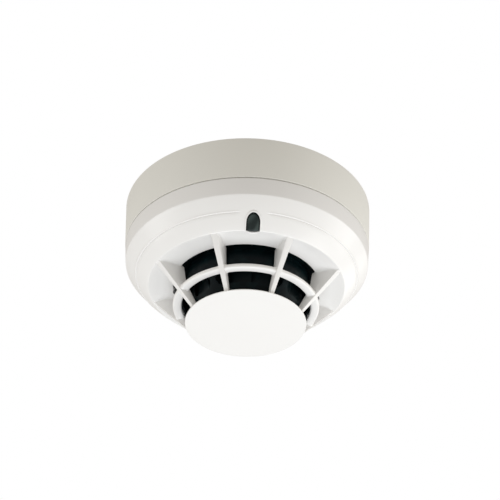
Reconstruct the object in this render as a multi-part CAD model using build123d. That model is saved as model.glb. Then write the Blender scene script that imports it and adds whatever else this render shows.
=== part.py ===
from build123d import *
from math import atan2, cos, degrees, hypot, radians, sin
import os

# Ceiling heat detector: a twist-lock mounting base and a plug-in sensing head with an eight-vane cage.
#
# Millimetres. The origin is the centre of the base's ceiling face, +Z is up, into the ceiling, and the
# indicator lens faces -Y. Everything hangs below z = 0. Bearings are degrees from +X, seen from above.

# ---------------------------------------------------------------- overall sizes
overall_diameter = 104.0      # across the base at the ceiling
overall_height = 57.4         # ceiling face to the outer face of the end disc

# ---------------------------------------------------------------- base
base_depth = 19.6             # ceiling face to the seam
base_wall = 2.2
base_draft = 0.4              # the base wall leans in by this much from ceiling to seam
base_edge = 0.5               # chamfer at the ceiling edge
plate_thickness = 2.4
cable_hole_radius = 17.0
cable_rim_wall = 1.8
cable_rim_depth = 2.0
screw_spacing = 60.0          # middle of the range of box screws that the slots take
slot_length = 14.5
slot_radius = 2.25
stiffener_depth = 2.4
stiffener_thickness = 1.5

# ---------------------------------------------------------------- clearances
turning_clearance = 0.5       # between the head and the base, radially
lock_clearance = 0.2          # between lugs and ledges, along the axis
snap_clearance = 0.2          # between parts that clip or drop into each other
running_clearance = 0.03      # between a dial and its bore
contact_gap = 0.3             # between a blade and the nose of its spring
seam_gap = 0.5                # shadow gap between base and cover

# ---------------------------------------------------------------- bayonet
lug_count = 3
lug_half_angle = 7.0
ledge_start = -8.0            # ledge from this bearing, counted from the lug's middle when locked
ledge_end = 14.0
stop_start = 8.0              # the stop block on the ledge that ends the locking turn
stop_end = 11.0
first_lug_bearing = 90.0
ledge_thickness = 2.2
lug_thickness = 2.0
collar_inset = 2.9            # the collar stands this far inside the housing's skirt
collar_wall = 2.0

# ---------------------------------------------------------------- head housing
back_recess = 3.6             # the housing's back stands this far up inside the base
back_thickness = 2.0
skirt_wall = 1.8
skirt_overlap = 3.0           # how far the skirt reaches down into the cover
board_standoff = 4.0
post_radius = 3.0
post_circle = 33.0
first_post_bearing = 30.0

# ---------------------------------------------------------------- cover
cover_wall = 2.0
band_inset = 0.5              # the cover's band stands this far inside the base at the seam
band_draft = 0.4
band_depth = 7.9
edge_radius = 0.8             # rounding between the band and the shoulder
shoulder_width = 9.9          # band to funnel edge, radially
shoulder_depth = 11.2
shoulder_bulge = 0.35         # how far the shoulder bows out from a straight cone
groove_share = 0.485          # where on the shoulder the decorative groove runs, from the band
groove_width = 0.9
groove_depth = 0.4
groove_gap_angle = 15.0       # the groove is interrupted about the indicator
funnel_width = 10.6
funnel_rise = 0.6
snap_count = 4
snap_width = 7.0
snap_height = 1.6
snap_reach = 1.1

# ---------------------------------------------------------------- cage
rib_count = 8
rib_thickness = 2.7           # at the funnel
rib_tip_thickness = 1.5       # at the end disc
rib_lean = 1.0                # the vanes' inner edges lean in by this much from the lip to the knee
ring_bar_width = 3.8          # radially
ring_bar_height = 2.0
ring_inset = 1.45             # the ring bar lies this far inside the vanes' outer edges
ring_share = 0.563            # where on the vanes the ring bar sits, from the funnel edge down
disc_lap = 2.6                # how far the disc reaches past the chamber's narrow end
disc_thickness = 1.5
disc_rim = 0.45               # thickness at the disc's edge, before its back slopes away
disc_back_slope = 1.8         # how far the back's slope reaches in
disc_edge = 0.25
disc_overhang = 0.3           # the disc stands this far outside the vanes' ends

# ---------------------------------------------------------------- sensing chamber
chamber_clearance = 2.8       # air path between the funnel's lip and the chamber
chamber_wall = 1.4
chamber_taper = 5.2           # the lower part of the chamber narrows by this much
knee_share = 0.465            # where the taper starts, from the top of the window down
rib_clearance = 0.4
disc_air_gap = 1.3
vane_count = 16
vane_thickness = 1.0
vane_sweep = 24.0             # bearing that a vane turns through from its root to its tip
vane_bow = 1.6
chamber_plate = 1.2
screen_radius_share = 0.63    # the insect screen's radius as a share of the chamber's
screen_thickness = 0.3
labyrinth_wall = 0.9
opening_count = 5             # long openings in the tapered part of the chamber's wall
opening_height = 5.6
opening_angle = 66.0
flange_reach = 2.5
flange_thickness = 1.4

# ---------------------------------------------------------------- electronics
board_thickness = 1.6
board_edge_gap = 0.6
lens_radius = 2.75            # half the indicator's width, and the radius of its round end
lens_length = 5.7
lens_end_bow = 0.4
lens_clearance = 0.1
lens_collar_reach = 0.85
lens_collar_thickness = 1.2
lens_boss_wall = 1.5
lens_rim_width = 0.45         # the raised rim round the indicator
lens_rim_height = 0.35
lens_inset = 7.65             # indicator's middle, measured in from the band
dial_radius = 2.5
dial_offset = 6.5
switch_side = 7.2
switch_wall = 0.9
bead_radius = 1.3
bead_drop = 4.2               # the sensing beads hang this far below the funnel's lip
lead_radius = 0.25
lead_pitch = 1.6
can_bearing = 41.2
can_inset = 9.85              # from the blade circle in to the middle of the shield can

# ---------------------------------------------------------------- contacts
contact_count = 4
first_contact_bearing = 45.0
blade_circle = 31.1
blade_thickness = 0.8
blade_half_angle = 10.0
blade_height = 6.0
strip_thickness = 0.5
strip_width = 6.0
pad_side = 8.0
clamp_side = 6.8
boss_side = 9.0
boss_depth = 5.6
terminal_gap = 6.9            # from the blade circle to the terminal screw
clamp_thickness = 1.1
screw_head_radius = 3.2
screw_head_height = 2.2
screw_shank_radius = 1.7
screw_length = 5.0
screw_slot_width = 0.9
screw_slot_depth = 1.0

# ---------------------------------------------------------------- places worked out from the sizes
outer_radius = overall_diameter / 2
base_bore = outer_radius - base_draft - base_wall
band_top_radius = outer_radius - band_inset
band_bottom_radius = band_top_radius - band_draft
cover_bore = band_bottom_radius - cover_wall
housing_radius = min(cover_bore - snap_clearance, base_bore - turning_clearance)
collar_radius = housing_radius - collar_inset
ledge_radius = collar_radius + turning_clearance
lug_radius = base_bore - turning_clearance

back_z = -(base_depth - back_recess)
back_under_z = back_z - back_thickness
skirt_end_z = -(base_depth + skirt_overlap)
ledge_under_z = back_z + turning_clearance
ledge_top_z = ledge_under_z + ledge_thickness
lug_under_z = ledge_top_z + lock_clearance
lug_top_z = lug_under_z + lug_thickness
board_top_z = back_under_z - board_standoff
board_under_z = board_top_z - board_thickness
board_radius = housing_radius - skirt_wall - board_edge_gap

cover_top_z = -(base_depth + seam_gap)
band_bottom_z = cover_top_z - band_depth
funnel_edge_radius = band_bottom_radius - shoulder_width
funnel_edge_z = band_bottom_z - shoulder_depth
lip_radius = funnel_edge_radius - funnel_width
lip_z = funnel_edge_z + funnel_rise
lip_top_z = lip_z + cover_wall

chamber_radius = lip_radius - chamber_clearance
chamber_end_radius = chamber_radius - chamber_taper
disc_radius = chamber_end_radius + disc_lap
rib_end_radius = disc_radius - disc_overhang
disc_face_z = -overall_height
disc_top_z = disc_face_z + disc_thickness
chamber_end_z = disc_top_z + disc_air_gap
knee_z = lip_z - knee_share * (lip_z - chamber_end_z)
flange_under_z = lip_top_z + snap_clearance
flange_top_z = flange_under_z + flange_thickness
chamber_floor_z = lip_top_z - chamber_plate
screen_radius = screen_radius_share * chamber_radius

lens_circle = band_bottom_radius - lens_inset
lens_seat_z = band_bottom_z - 0.1 * shoulder_depth
led_height = 1.6
bead_circle = chamber_radius + 0.58 * chamber_clearance
bead_z = lip_z - bead_drop

boss_end_z = -(plate_thickness + boss_depth)
pad_under_z = boss_end_z - strip_thickness
clamp_under_z = pad_under_z - clamp_thickness
terminal_circle = blade_circle + terminal_gap
nose_radius = blade_circle + blade_thickness / 2 + contact_gap + strip_thickness / 2

DOWN = (Align.CENTER, Align.CENTER, Align.MAX)
UP = (Align.CENTER, Align.CENTER, Align.MIN)


# ---------------------------------------------------------------- helpers
def turned(*points):
    """A solid of revolution about Z from a closed outline of (radius, z) points."""
    return revolve(Plane.XZ * make_face(Polyline(*points, close=True)), Axis.Z)


def tube(outer, inner, low, high):
    """A plain ring between two radii and two heights."""
    return turned((inner, low), (outer, low), (outer, high), (inner, high))


def drum(radius, low, high):
    """A plain cylinder on the Z axis between two heights."""
    return Pos(0, 0, low) * Cylinder(radius, high - low, align=UP)


def on_circle(radius, bearing, z=0.0):
    """The place on a circle about Z, with local X pointing outwards."""
    return Rot(0, 0, bearing) * Pos(radius, 0, z)


def sector(inner, outer, start, end, low, high):
    """A block between two radii, two bearings in degrees and two heights."""
    outline = make_face(
        Line((inner * cos(radians(start)), inner * sin(radians(start))),
             (outer * cos(radians(start)), outer * sin(radians(start))))
        + CenterArc((0, 0), outer, start, end - start)
        + Line((outer * cos(radians(end)), outer * sin(radians(end))),
               (inner * cos(radians(end)), inner * sin(radians(end))))
        + CenterArc((0, 0), inner, start, end - start)
    )
    return extrude(Pos(0, 0, low) * outline, high - low)


def bearings(count, first):
    """Evenly spaced bearings."""
    return [first + n * 360.0 / count for n in range(count)]


def fused(solids):
    """One shape from several that touch or overlap."""
    whole = solids[0]
    for solid in solids[1:]:
        whole += solid
    return whole


def write(name, *solids):
    """Writes one node's solids to its STEP file."""
    loose = [piece for shape in solids for piece in shape.solids()]
    export_step(loose[0] if len(loose) == 1 else Compound(children=loose), f"parts/{name}.step")


# ---------------------------------------------------------------- base
def terminal_boss():
    """The block that carries one terminal, with its blind screw hole, on +X."""
    block = Pos(terminal_circle, 0, -plate_thickness) * Box(boss_side, boss_side, boss_depth, align=DOWN)
    hole = Pos(terminal_circle, 0, boss_end_z) * Cylinder(screw_shank_radius, screw_length, align=UP)
    return block, hole


def base_shell():
    """The moulded base: wall, ceiling plate, terminal bosses and the bayonet's ledges."""
    seam_radius = outer_radius - base_draft
    shell = turned(
        (0, 0), (outer_radius - base_edge, 0), (outer_radius, -base_edge), (seam_radius, -base_depth),
        (base_bore, -base_depth), (base_bore, -plate_thickness), (0, -plate_thickness),
    )
    shell += tube(cable_hole_radius + cable_rim_wall, cable_hole_radius,
                  -plate_thickness - cable_rim_depth, -plate_thickness)
    stiffener_start = cable_hole_radius + cable_rim_wall / 2
    stiffener_length = base_bore + base_wall / 2 - stiffener_start
    for bearing in bearings(8, 22.5):
        shell += on_circle(stiffener_start + stiffener_length / 2, bearing, -plate_thickness) * Box(
            stiffener_length, stiffener_thickness, stiffener_depth, align=DOWN)
    shell -= drum(cable_hole_radius, -base_depth, 1)
    for bearing in bearings(lug_count, first_lug_bearing):
        wall_middle = base_bore + base_wall / 2
        shell += sector(ledge_radius, wall_middle, bearing + ledge_start, bearing + ledge_end,
                        ledge_under_z, ledge_top_z)
        shell += sector(ledge_radius, wall_middle, bearing + stop_start, bearing + stop_end,
                        ledge_top_z, lug_top_z)
    block, hole = terminal_boss()
    for bearing in bearings(contact_count, first_contact_bearing):
        shell += Rot(0, 0, bearing) * block
        shell -= Rot(0, 0, bearing) * hole
    for bearing in bearings(4, 0):
        shell -= on_circle(screw_spacing / 2, bearing, 1) * extrude(
            SlotOverall(slot_length, 2 * slot_radius), -plate_thickness - 2)
    return shell


def base_contact():
    """One spring strip on +X: a drilled pad under the terminal screw and a bowed nose for the blade."""
    top = boss_end_z - strip_thickness / 2
    free_z = back_z + 1.2
    nose_z = boss_end_z - 0.55 * (boss_end_z - free_z)
    path = Polyline(
        (terminal_circle + pad_side / 2, top), (nose_radius + 2.4, top), (nose_radius + 1.2, top - 1.0),
        (nose_radius, nose_z), (nose_radius + 1.2, free_z),
    )
    strip = extrude(Plane.XZ * trace(path, strip_thickness), strip_width / 2, both=True)
    pad = Pos(terminal_circle, 0, pad_under_z) * Box(pad_side, pad_side, strip_thickness, align=UP)
    hole = Pos(terminal_circle, 0, 0) * Cylinder(screw_shank_radius + snap_clearance, 4 * boss_depth)
    return strip + pad - hole


def clamp_plate():
    """The square washer that traps a wire against the pad, on +X."""
    plate = Pos(terminal_circle, 0, clamp_under_z) * Box(clamp_side, clamp_side, clamp_thickness, align=UP)
    hole = Pos(terminal_circle, 0, 0) * Cylinder(screw_shank_radius + snap_clearance, 4 * boss_depth)
    return plate - hole


def slotted_screw(head_radius, head_height, shank_radius, length):
    """A pan-head screw hanging head down with the underside of its head at z = 0 and its shank above."""
    head = Cylinder(head_radius, head_height, align=DOWN)
    head = fillet(head.edges().group_by(Axis.Z)[0], 0.35 * head_height)
    slot = Pos(0, 0, -head_height) * Box(3 * head_radius, screw_slot_width, screw_slot_depth, align=UP)
    return head - slot + Cylinder(shank_radius, length, align=UP)


def terminal_screw():
    """One terminal screw on +X, tight on its clamp plate."""
    reach = screw_length + (boss_end_z - clamp_under_z) - 0.6
    return Pos(terminal_circle, 0, clamp_under_z) * slotted_screw(
        screw_head_radius, screw_head_height, screw_shank_radius - 0.02, reach)


# ---------------------------------------------------------------- head housing and contacts
def head_housing():
    """The back moulding of the head: back plate, bayonet collar with lugs, skirt and board posts."""
    skirt_bore = housing_radius - skirt_wall
    body = turned(
        (0, back_z), (collar_radius - collar_wall, back_z), (collar_radius - collar_wall, lug_top_z),
        (collar_radius, lug_top_z), (collar_radius, back_z), (housing_radius, back_z),
        (housing_radius, skirt_end_z), (skirt_bore, skirt_end_z), (skirt_bore, back_under_z), (0, back_under_z),
    )
    for bearing in bearings(lug_count, first_lug_bearing):
        body += sector(collar_radius - collar_wall / 2, lug_radius, bearing - lug_half_angle,
                       bearing + lug_half_angle, lug_under_z, lug_top_z)
    for bearing in bearings(lug_count, first_post_bearing):
        post = on_circle(post_circle, bearing, back_under_z) * Cylinder(post_radius, board_standoff, align=DOWN)
        hole = on_circle(post_circle, bearing, board_top_z) * Cylinder(1.0, board_standoff, align=UP)
        body = body + post - hole
    for side in (-1, 1):
        body -= Pos(side * dial_offset, 0, back_z) * Cylinder(dial_radius + 0.6, 3 * back_thickness)
    for bearing in bearings(contact_count, first_contact_bearing):
        body -= blade_slot(bearing)
    for bearing in bearings(snap_count, first_contact_bearing):
        body -= on_circle(housing_radius, bearing, snap_middle_z()) * Box(
            4 * skirt_wall, snap_width + 2 * snap_clearance, snap_height + 2 * snap_clearance)
    return body


def snap_middle_z():
    """Height of the middle of the cover's snap hooks."""
    return (cover_top_z + skirt_end_z) / 2


def blade_slot(bearing):
    """The curved slot in the housing's back that a blade is pressed into."""
    half = blade_thickness / 2
    return sector(blade_circle - half, blade_circle + half, bearing - 0.6 * blade_half_angle,
                  bearing + 0.6 * blade_half_angle, back_under_z - 1, back_z + 1)


def head_contact(bearing):
    """One curved blade: a wide tongue above the housing's back, a root through it and a tail to the board."""
    half = blade_thickness / 2
    tongue = sector(blade_circle - half, blade_circle + half, bearing - blade_half_angle,
                    bearing + blade_half_angle, back_z, back_z + blade_height)
    root = sector(blade_circle - half, blade_circle + half, bearing - 0.6 * blade_half_angle,
                  bearing + 0.6 * blade_half_angle, back_under_z, back_z)
    tail = sector(blade_circle - half, blade_circle + half, bearing - 0.15 * blade_half_angle,
                  bearing + 0.15 * blade_half_angle, board_top_z, back_under_z)
    return tongue + root + tail


# ---------------------------------------------------------------- cover and cage
def shoulder_point(share, lift=0.0):
    """A point on the shoulder's bowed outline, a share of the way from the band to the funnel edge."""
    radius = band_bottom_radius - share * shoulder_width
    z = band_bottom_z - share * shoulder_depth
    length = hypot(shoulder_width, shoulder_depth)
    bow = 4 * share * (1 - share) * shoulder_bulge + lift
    return radius + bow * shoulder_depth / length, z - bow * shoulder_width / length


def shoulder_solid(lift):
    """Everything above the shoulder's outer surface, moved out by a lift."""
    start, end = shoulder_point(0, lift), shoulder_point(1, lift)
    outline = (
        Line((0, cover_top_z), (start[0], cover_top_z))
        + Line((start[0], cover_top_z), start)
        + ThreePointArc(start, shoulder_point(0.5, lift), end)
        + Line(end, (0, end[1]))
        + Line((0, end[1]), (0, cover_top_z))
    )
    return revolve(Plane.XZ * make_face(outline), Axis.Z)


def indicator_column(margin, low_z, high_z):
    """An upright column of the indicator's outline: round on its outer side, gently bowed on its inner one."""
    half = lens_radius + margin
    round_y = lens_radius - lens_circle - lens_length / 2
    side_y = lens_length / 2 - lens_circle - lens_end_bow + margin
    outline = (
        ThreePointArc((half, round_y), (0, round_y - half), (-half, round_y))
        + Line((-half, round_y), (-half, side_y))
        + ThreePointArc((-half, side_y), (0, side_y + lens_end_bow), (half, side_y))
        + Line((half, side_y), (half, round_y))
    )
    return Pos(0, 0, low_z) * extrude(make_face(outline), high_z - low_z)


def cover_envelope():
    """Everything inside the cover's outer surface, with a flat underside at the funnel edge."""
    outline = (
        Line((0, cover_top_z), (band_top_radius, cover_top_z))
        + Line((band_top_radius, cover_top_z), (band_bottom_radius, band_bottom_z))
        + ThreePointArc((band_bottom_radius, band_bottom_z), shoulder_point(0.5),
                        (funnel_edge_radius, funnel_edge_z))
        + Line((funnel_edge_radius, funnel_edge_z), (0, funnel_edge_z))
        + Line((0, funnel_edge_z), (0, cover_top_z))
    )
    solid = revolve(Plane.XZ * make_face(outline), Axis.Z)
    corner = [e for e in solid.edges().filter_by(GeomType.CIRCLE)
              if abs(e.center().Z - band_bottom_z) < 0.01 and abs(e.radius - band_bottom_radius) < 0.01]
    return fillet(corner, edge_radius)


def cover_shell():
    """The cover's shoulder and funnel, with its groove, snap hooks and the indicator's boss."""
    envelope = cover_envelope()
    hollow_end = shoulder_point(0.5, -cover_wall)
    inner_edge = (funnel_edge_radius - 0.2 * cover_wall, funnel_edge_z + 1.5 * cover_wall)
    hollow_outline = (
        Line((0, cover_top_z + 1), (cover_bore, cover_top_z + 1))
        + Line((cover_bore, cover_top_z + 1), (cover_bore, band_bottom_z))
        + ThreePointArc((cover_bore, band_bottom_z), hollow_end, inner_edge)
        + Line(inner_edge, (lip_radius, lip_top_z))
        + Line((lip_radius, lip_top_z), (0, lip_top_z))
        + Line((0, lip_top_z), (0, cover_top_z + 1))
    )
    hollow = revolve(Plane.XZ * make_face(hollow_outline), Axis.Z)
    funnel = turned(
        (0, funnel_edge_z - 1), (funnel_edge_radius, funnel_edge_z - 1), (funnel_edge_radius - 0.3, funnel_edge_z),
        (lip_radius, lip_z), (0, lip_z),
    )
    shell = envelope - hollow - funnel - drum(lip_radius, funnel_edge_z - 1, cover_top_z)
    boss = indicator_column(lens_clearance + lens_boss_wall, funnel_edge_z - 1, lens_seat_z)
    rim = indicator_column(lens_clearance + lens_rim_width, funnel_edge_z - 2, lens_seat_z)
    shell += boss & envelope
    shell += rim & shoulder_solid(lens_rim_height)
    shell -= indicator_column(lens_clearance, -overall_height, 0)
    shell -= shoulder_groove()
    reach = cover_bore - snap_reach
    for bearing in bearings(snap_count, first_contact_bearing):
        hook = on_circle(reach, bearing, snap_middle_z()) * Box(
            cover_bore + cover_wall / 2 - reach, snap_width, snap_height, align=(Align.MIN, Align.CENTER, Align.CENTER))
        shell += hook
    return shell


def shoulder_groove():
    """The shallow V groove round the shoulder, interrupted about the indicator."""
    run = hypot(shoulder_width, shoulder_depth)
    half = groove_width / 2 / run
    start, end = shoulder_point(groove_share - half, 0.05), shoulder_point(groove_share + half, 0.05)
    bottom = shoulder_point(groove_share, -groove_depth)
    section = Plane.XZ * make_face(Polyline(start, bottom, end, close=True))
    swept = revolve(section, Axis.Z, 360 - groove_gap_angle)
    return Rot(0, 0, -90 + groove_gap_angle / 2) * swept


def chamber_outline_radius(z):
    """The chamber's outer radius at a height."""
    if z >= knee_z:
        return chamber_radius
    return chamber_radius - chamber_taper * (knee_z - z) / (knee_z - chamber_end_z)


def rib_edge_radius(z):
    """The radius of the vanes' straight outer edge at a height."""
    share = (funnel_edge_z - z) / (funnel_edge_z - disc_top_z)
    return funnel_edge_radius - share * (funnel_edge_radius - rib_end_radius)


def ring_place():
    """Radius and height of the ring bar's centre line."""
    z = funnel_edge_z - ring_share * (funnel_edge_z - disc_top_z)
    return rib_edge_radius(z) - ring_inset - ring_bar_width / 2, z


def cage_ring():
    """The rounded bar that ties the vanes together half way down."""
    radius, z = ring_place()
    section = Pos(radius, z) * RectangleRounded(ring_bar_width, ring_bar_height, 0.45 * ring_bar_height)
    return revolve(Plane.XZ * section, Axis.Z)


def cage_ribs(ring):
    """The vanes between the funnel and the end disc, cleared for the ring bar."""
    inner_end = chamber_outline_radius(chamber_end_z) + rib_clearance
    inner_top = chamber_radius + rib_clearance + rib_lean
    rim_z, slope_end = disc_face_z + disc_rim, disc_radius - disc_back_slope
    steep = (disc_top_z - rim_z) / disc_back_slope
    blank = turned(
        (inner_top, lip_top_z - cover_wall / 2), (lip_radius, lip_top_z - cover_wall / 2),
        (lip_radius, lip_z), (funnel_edge_radius - 0.3, funnel_edge_z), (rib_end_radius, disc_top_z),
        (rib_end_radius, rim_z + disc_overhang * steep), (slope_end, disc_top_z),
        (inner_end, disc_top_z), (inner_end, chamber_end_z), (chamber_radius + rib_clearance, knee_z),
    )
    one = (blank & rib_slab()) - ring
    half_pitch = 180.0 / rib_count
    return [Rot(0, 0, bearing) * one for bearing in bearings(rib_count, -90 + half_pitch)]


def rib_slab():
    """A wedge along X that gives the vanes their drafted thickness."""
    fall = lip_top_z - disc_face_z
    root, tip = rib_thickness / 2, rib_tip_thickness / 2
    section = Plane.YZ * make_face(Polyline(
        (-root, lip_top_z), (root, lip_top_z), (tip, lip_top_z - fall), (-tip, lip_top_z - fall), close=True))
    return extrude(section, outer_radius)


def end_disc():
    """The flat disc that closes the cage, with a back that slopes away behind a thin rim."""
    disc = turned((0, disc_face_z), (disc_radius, disc_face_z), (disc_radius, disc_face_z + disc_rim),
                  (disc_radius - disc_back_slope, disc_top_z), (0, disc_top_z))
    return fillet(disc.edges().filter_by(GeomType.CIRCLE).group_by(Axis.Z)[0], disc_edge)


def indicator_lens():
    """The smoked light pipe of the indicator, with the collar that seats it on the cover's boss."""
    pipe = indicator_column(0, funnel_edge_z - 1, board_under_z - led_height - 0.6)
    pipe = pipe & shoulder_solid(-0.1)
    return pipe + indicator_column(lens_collar_reach, lens_seat_z, lens_seat_z + lens_collar_thickness)


# ---------------------------------------------------------------- sensing chamber
def chamber_body(top_z):
    """A solid of the chamber's outline from its closed end up to a height."""
    return turned(
        (0, top_z), (chamber_radius, top_z), (chamber_radius, knee_z),
        (chamber_end_radius, chamber_end_z), (0, chamber_end_z),
    )


def chamber_base():
    """The black carrier between board and funnel, with a floor for the optics and a flange over the lip."""
    wall_top = board_under_z
    bore = chamber_radius - chamber_wall
    body = tube(chamber_radius, bore, chamber_floor_z, wall_top)
    body += drum(chamber_radius, chamber_floor_z, chamber_floor_z + chamber_plate)
    body += tube(lip_radius + flange_reach, bore, flange_under_z, flange_top_z)
    for side in (-1, 1):
        body += Pos(side * optic_offset(), 0, chamber_floor_z) * optic_block()
        body -= Pos(side * optic_offset(), 0, 0) * Cylinder(optic_hole_radius, 3 * overall_height)
        body -= Pos(side * bead_circle, 0, flange_under_z) * Box(
            6 * lead_radius + lead_radius, lead_pitch + 8 * lead_radius, 4 * flange_thickness)
    return body


optic_hole_radius = 1.6
optic_block_side = 6.0
optic_block_depth = 4.5


def optic_offset():
    """How far from the axis the emitter and the photodiode stand."""
    return 0.55 * screen_radius


def optic_block():
    """The upright snout that shades one optical part, hanging from the chamber's floor."""
    return Box(optic_block_side, optic_block_side, optic_block_depth, align=DOWN)


def optic_part():
    """A 3 mm optical part with its flange, hanging in its snout from the board."""
    tip_z = chamber_floor_z - 0.6 * optic_block_depth
    barrel = Pos(0, 0, tip_z) * Cylinder(optic_hole_radius - 0.1, board_under_z - tip_z, align=UP)
    return fillet(barrel.edges().filter_by(GeomType.CIRCLE).group_by(Axis.Z)[0], 0.9)


def labyrinth_shell():
    """The chamber's thin outer wall with its long openings."""
    shell = chamber_body(chamber_floor_z) - turned(
        (0, chamber_floor_z + 1), (chamber_radius - labyrinth_wall, chamber_floor_z + 1),
        (chamber_radius - labyrinth_wall, knee_z), (chamber_end_radius - labyrinth_wall, chamber_end_z - 0.01),
        (0, chamber_end_z - 0.01))
    middle_z = (knee_z + chamber_end_z + chamber_plate) / 2
    half = opening_height / 2
    run = opening_angle / 2 - degrees(half / chamber_outline_radius(middle_z))
    inner, outer = chamber_end_radius - 3 * labyrinth_wall, chamber_radius + 1
    for bearing in bearings(opening_count, -90):
        shell -= sector(inner, outer, bearing - run, bearing + run, middle_z - half, middle_z + half)
        for end in (bearing - run, bearing + run):
            shell -= Rot(0, 0, end) * Pos(inner, 0, middle_z) * Rot(0, 90, 0) * Cylinder(half, outer - inner, align=UP)
    return shell


def labyrinth():
    """The black vaned part of the chamber that the windows show: a shell and two plates with curved vanes between."""
    top_z = chamber_floor_z
    bore = screen_radius + screen_thickness
    top_plate = tube(chamber_radius, bore, top_z - chamber_plate, top_z)
    end_top_z = chamber_end_z + chamber_plate
    end_plate = turned((0, chamber_end_z), (chamber_end_radius, chamber_end_z),
                       (chamber_outline_radius(end_top_z), end_top_z), (0, end_top_z))
    root = bore + 1.0
    tip = chamber_radius
    turn = radians(vane_sweep)
    middle = (root + tip) / 2
    path = ThreePointArc(
        (root, 0), (middle * cos(turn / 2) + vane_bow * 0.3, middle * sin(turn / 2) - vane_bow),
        (tip * cos(turn), tip * sin(turn)))
    vane = extrude(Pos(0, 0, chamber_end_z) * trace(path, vane_thickness), top_z - chamber_end_z)
    vane = vane & chamber_body(top_z)
    vanes = [Rot(0, 0, bearing) * vane for bearing in bearings(vane_count, 0)]
    return end_plate + vanes + top_plate + labyrinth_shell()


def insect_screen():
    """The fine screen round the measuring space, as a plain thin sleeve."""
    return tube(screen_radius, screen_radius - screen_thickness,
                chamber_end_z + chamber_plate, chamber_floor_z - snap_clearance)


def thermistor(side):
    """One glass-bead heat sensor on its two leads, hanging from the board into the air path."""
    lead_end = bead_z + 0.6 * bead_radius
    place = Pos(side * bead_circle, 0, 0)
    leads = [place * Pos(0, shift * lead_pitch / 2, lead_end) * Cylinder(
        lead_radius, board_under_z - lead_end, align=UP) for shift in (-1, 1)]
    bead = place * Pos(0, 0, bead_z) * Sphere(bead_radius)
    return fused([bead, *leads])


# ---------------------------------------------------------------- board and what is on it
def circuit_board():
    """The round board, with holes for its screws, the optical parts' leads and the sensors' leads."""
    board = drum(board_radius, board_under_z, board_top_z)
    for bearing in bearings(lug_count, first_post_bearing):
        board -= on_circle(post_circle, bearing) * Cylinder(1.2, 3 * overall_height)
    return board


def board_screw(bearing):
    """One small screw that holds the board to a housing post."""
    return on_circle(post_circle, bearing, board_under_z) * slotted_screw(2.2, 1.4, 0.95, board_standoff)


def above_board(x, y, turn=0.0):
    """A place on the board's ceiling side."""
    return Pos(x, y, board_top_z) * Rot(0, 0, turn)


def below_board(x, y, turn=0.0):
    """A place on the board's room side."""
    return Pos(x, y, board_under_z) * Rot(0, 0, turn)


def switch_body(side):
    """The square body of one rotary address switch, with the bore its dial turns in."""
    height = board_standoff - snap_clearance
    body = above_board(side * dial_offset, 0) * Box(switch_side, switch_side, height, align=UP)
    bore = above_board(side * dial_offset, 0) * Pos(0, 0, switch_wall) * Cylinder(
        dial_radius + running_clearance, height, align=UP)
    return body - bore


def switch_dial(side):
    """The turning dial of one address switch, with its driver slot and arrow notch."""
    low = board_top_z + switch_wall + 0.2
    top = back_z - 0.3
    dial = Pos(side * dial_offset, 0, low) * Cylinder(dial_radius, top - low, align=UP)
    slot = Pos(side * dial_offset, 0, top) * Box(1.6 * dial_radius, 0.8, 1.0, align=DOWN)
    notch = Pos(side * dial_offset, 0.7 * dial_radius, top) * Cylinder(0.45, 0.5, align=DOWN)
    return dial - slot - notch


def microcontroller():
    """The square flat package of the processor with its rows of legs."""
    body = Pos(0, 0, 0.15) * Box(7.0, 7.0, 1.2, align=UP)
    legs = [Pos(side * 3.9, -2.8 + 0.8 * n, 0) * Box(1.2, 0.35, 0.5, align=UP)
            for side in (-1, 1) for n in range(8)]
    package = fused([body, *legs, *(Rot(0, 0, 90) * leg for leg in legs)])
    return above_board(0, 20) * package


def capacitor():
    """The electrolytic capacitor: an upright can with a rolled shoulder."""
    can = above_board(-18, 12) * Cylinder(3.15, board_standoff - 0.6, align=UP)
    return fillet(can.edges().filter_by(GeomType.CIRCLE).group_by(Axis.Z)[-1], 0.4)


def surge_suppressor():
    """The moulded surge diode across the line terminals, with two end caps."""
    body = Box(6.8, 5.6, 2.4, align=UP)
    caps = Box(8.0, 2.2, 1.4, align=UP)
    return above_board(19, -13, 30) * (body + caps)


def reed_switch():
    """The glass reed switch that a test magnet works, lying along the board near its rim."""
    glass = Rot(0, 90, 0) * Cylinder(1.1, 12.0)
    wires = Rot(0, 90, 0) * Cylinder(0.3, 17.0)
    feet = [Pos(side * 8.2, 0, -1.2) * Cylinder(0.3, 1.2, align=UP) for side in (-1, 1)]
    return above_board(0, -20) * Pos(0, 0, 1.2) * fused([glass, wires, *feet])


def surface_mount_parts():
    """The small resistors and capacitors, in two rows on the ceiling side."""
    return [above_board(x, y) * Box(2.0, 1.25, 0.7, align=UP)
            for y in (-12.5, 29.5) for x in (-9.0, -5.4, -1.8, 1.8, 5.4, 9.0)]


def shield_can():
    """The pressed metal lid over the amplifier."""
    reach = blade_circle - can_inset
    place = above_board(reach * cos(radians(can_bearing)), reach * sin(radians(can_bearing)))
    lid = place * Box(10.0, 8.0, 2.6, align=UP)
    lid = fillet(lid.edges().group_by(Axis.Z)[-1], 0.4)
    return lid - place * Box(9.4, 7.4, 2.2, align=UP)


def status_led():
    """The small indicator lamp under the light pipe."""
    return below_board(0, -lens_circle) * Box(3.0, 2.2, led_height, align=DOWN)


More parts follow.
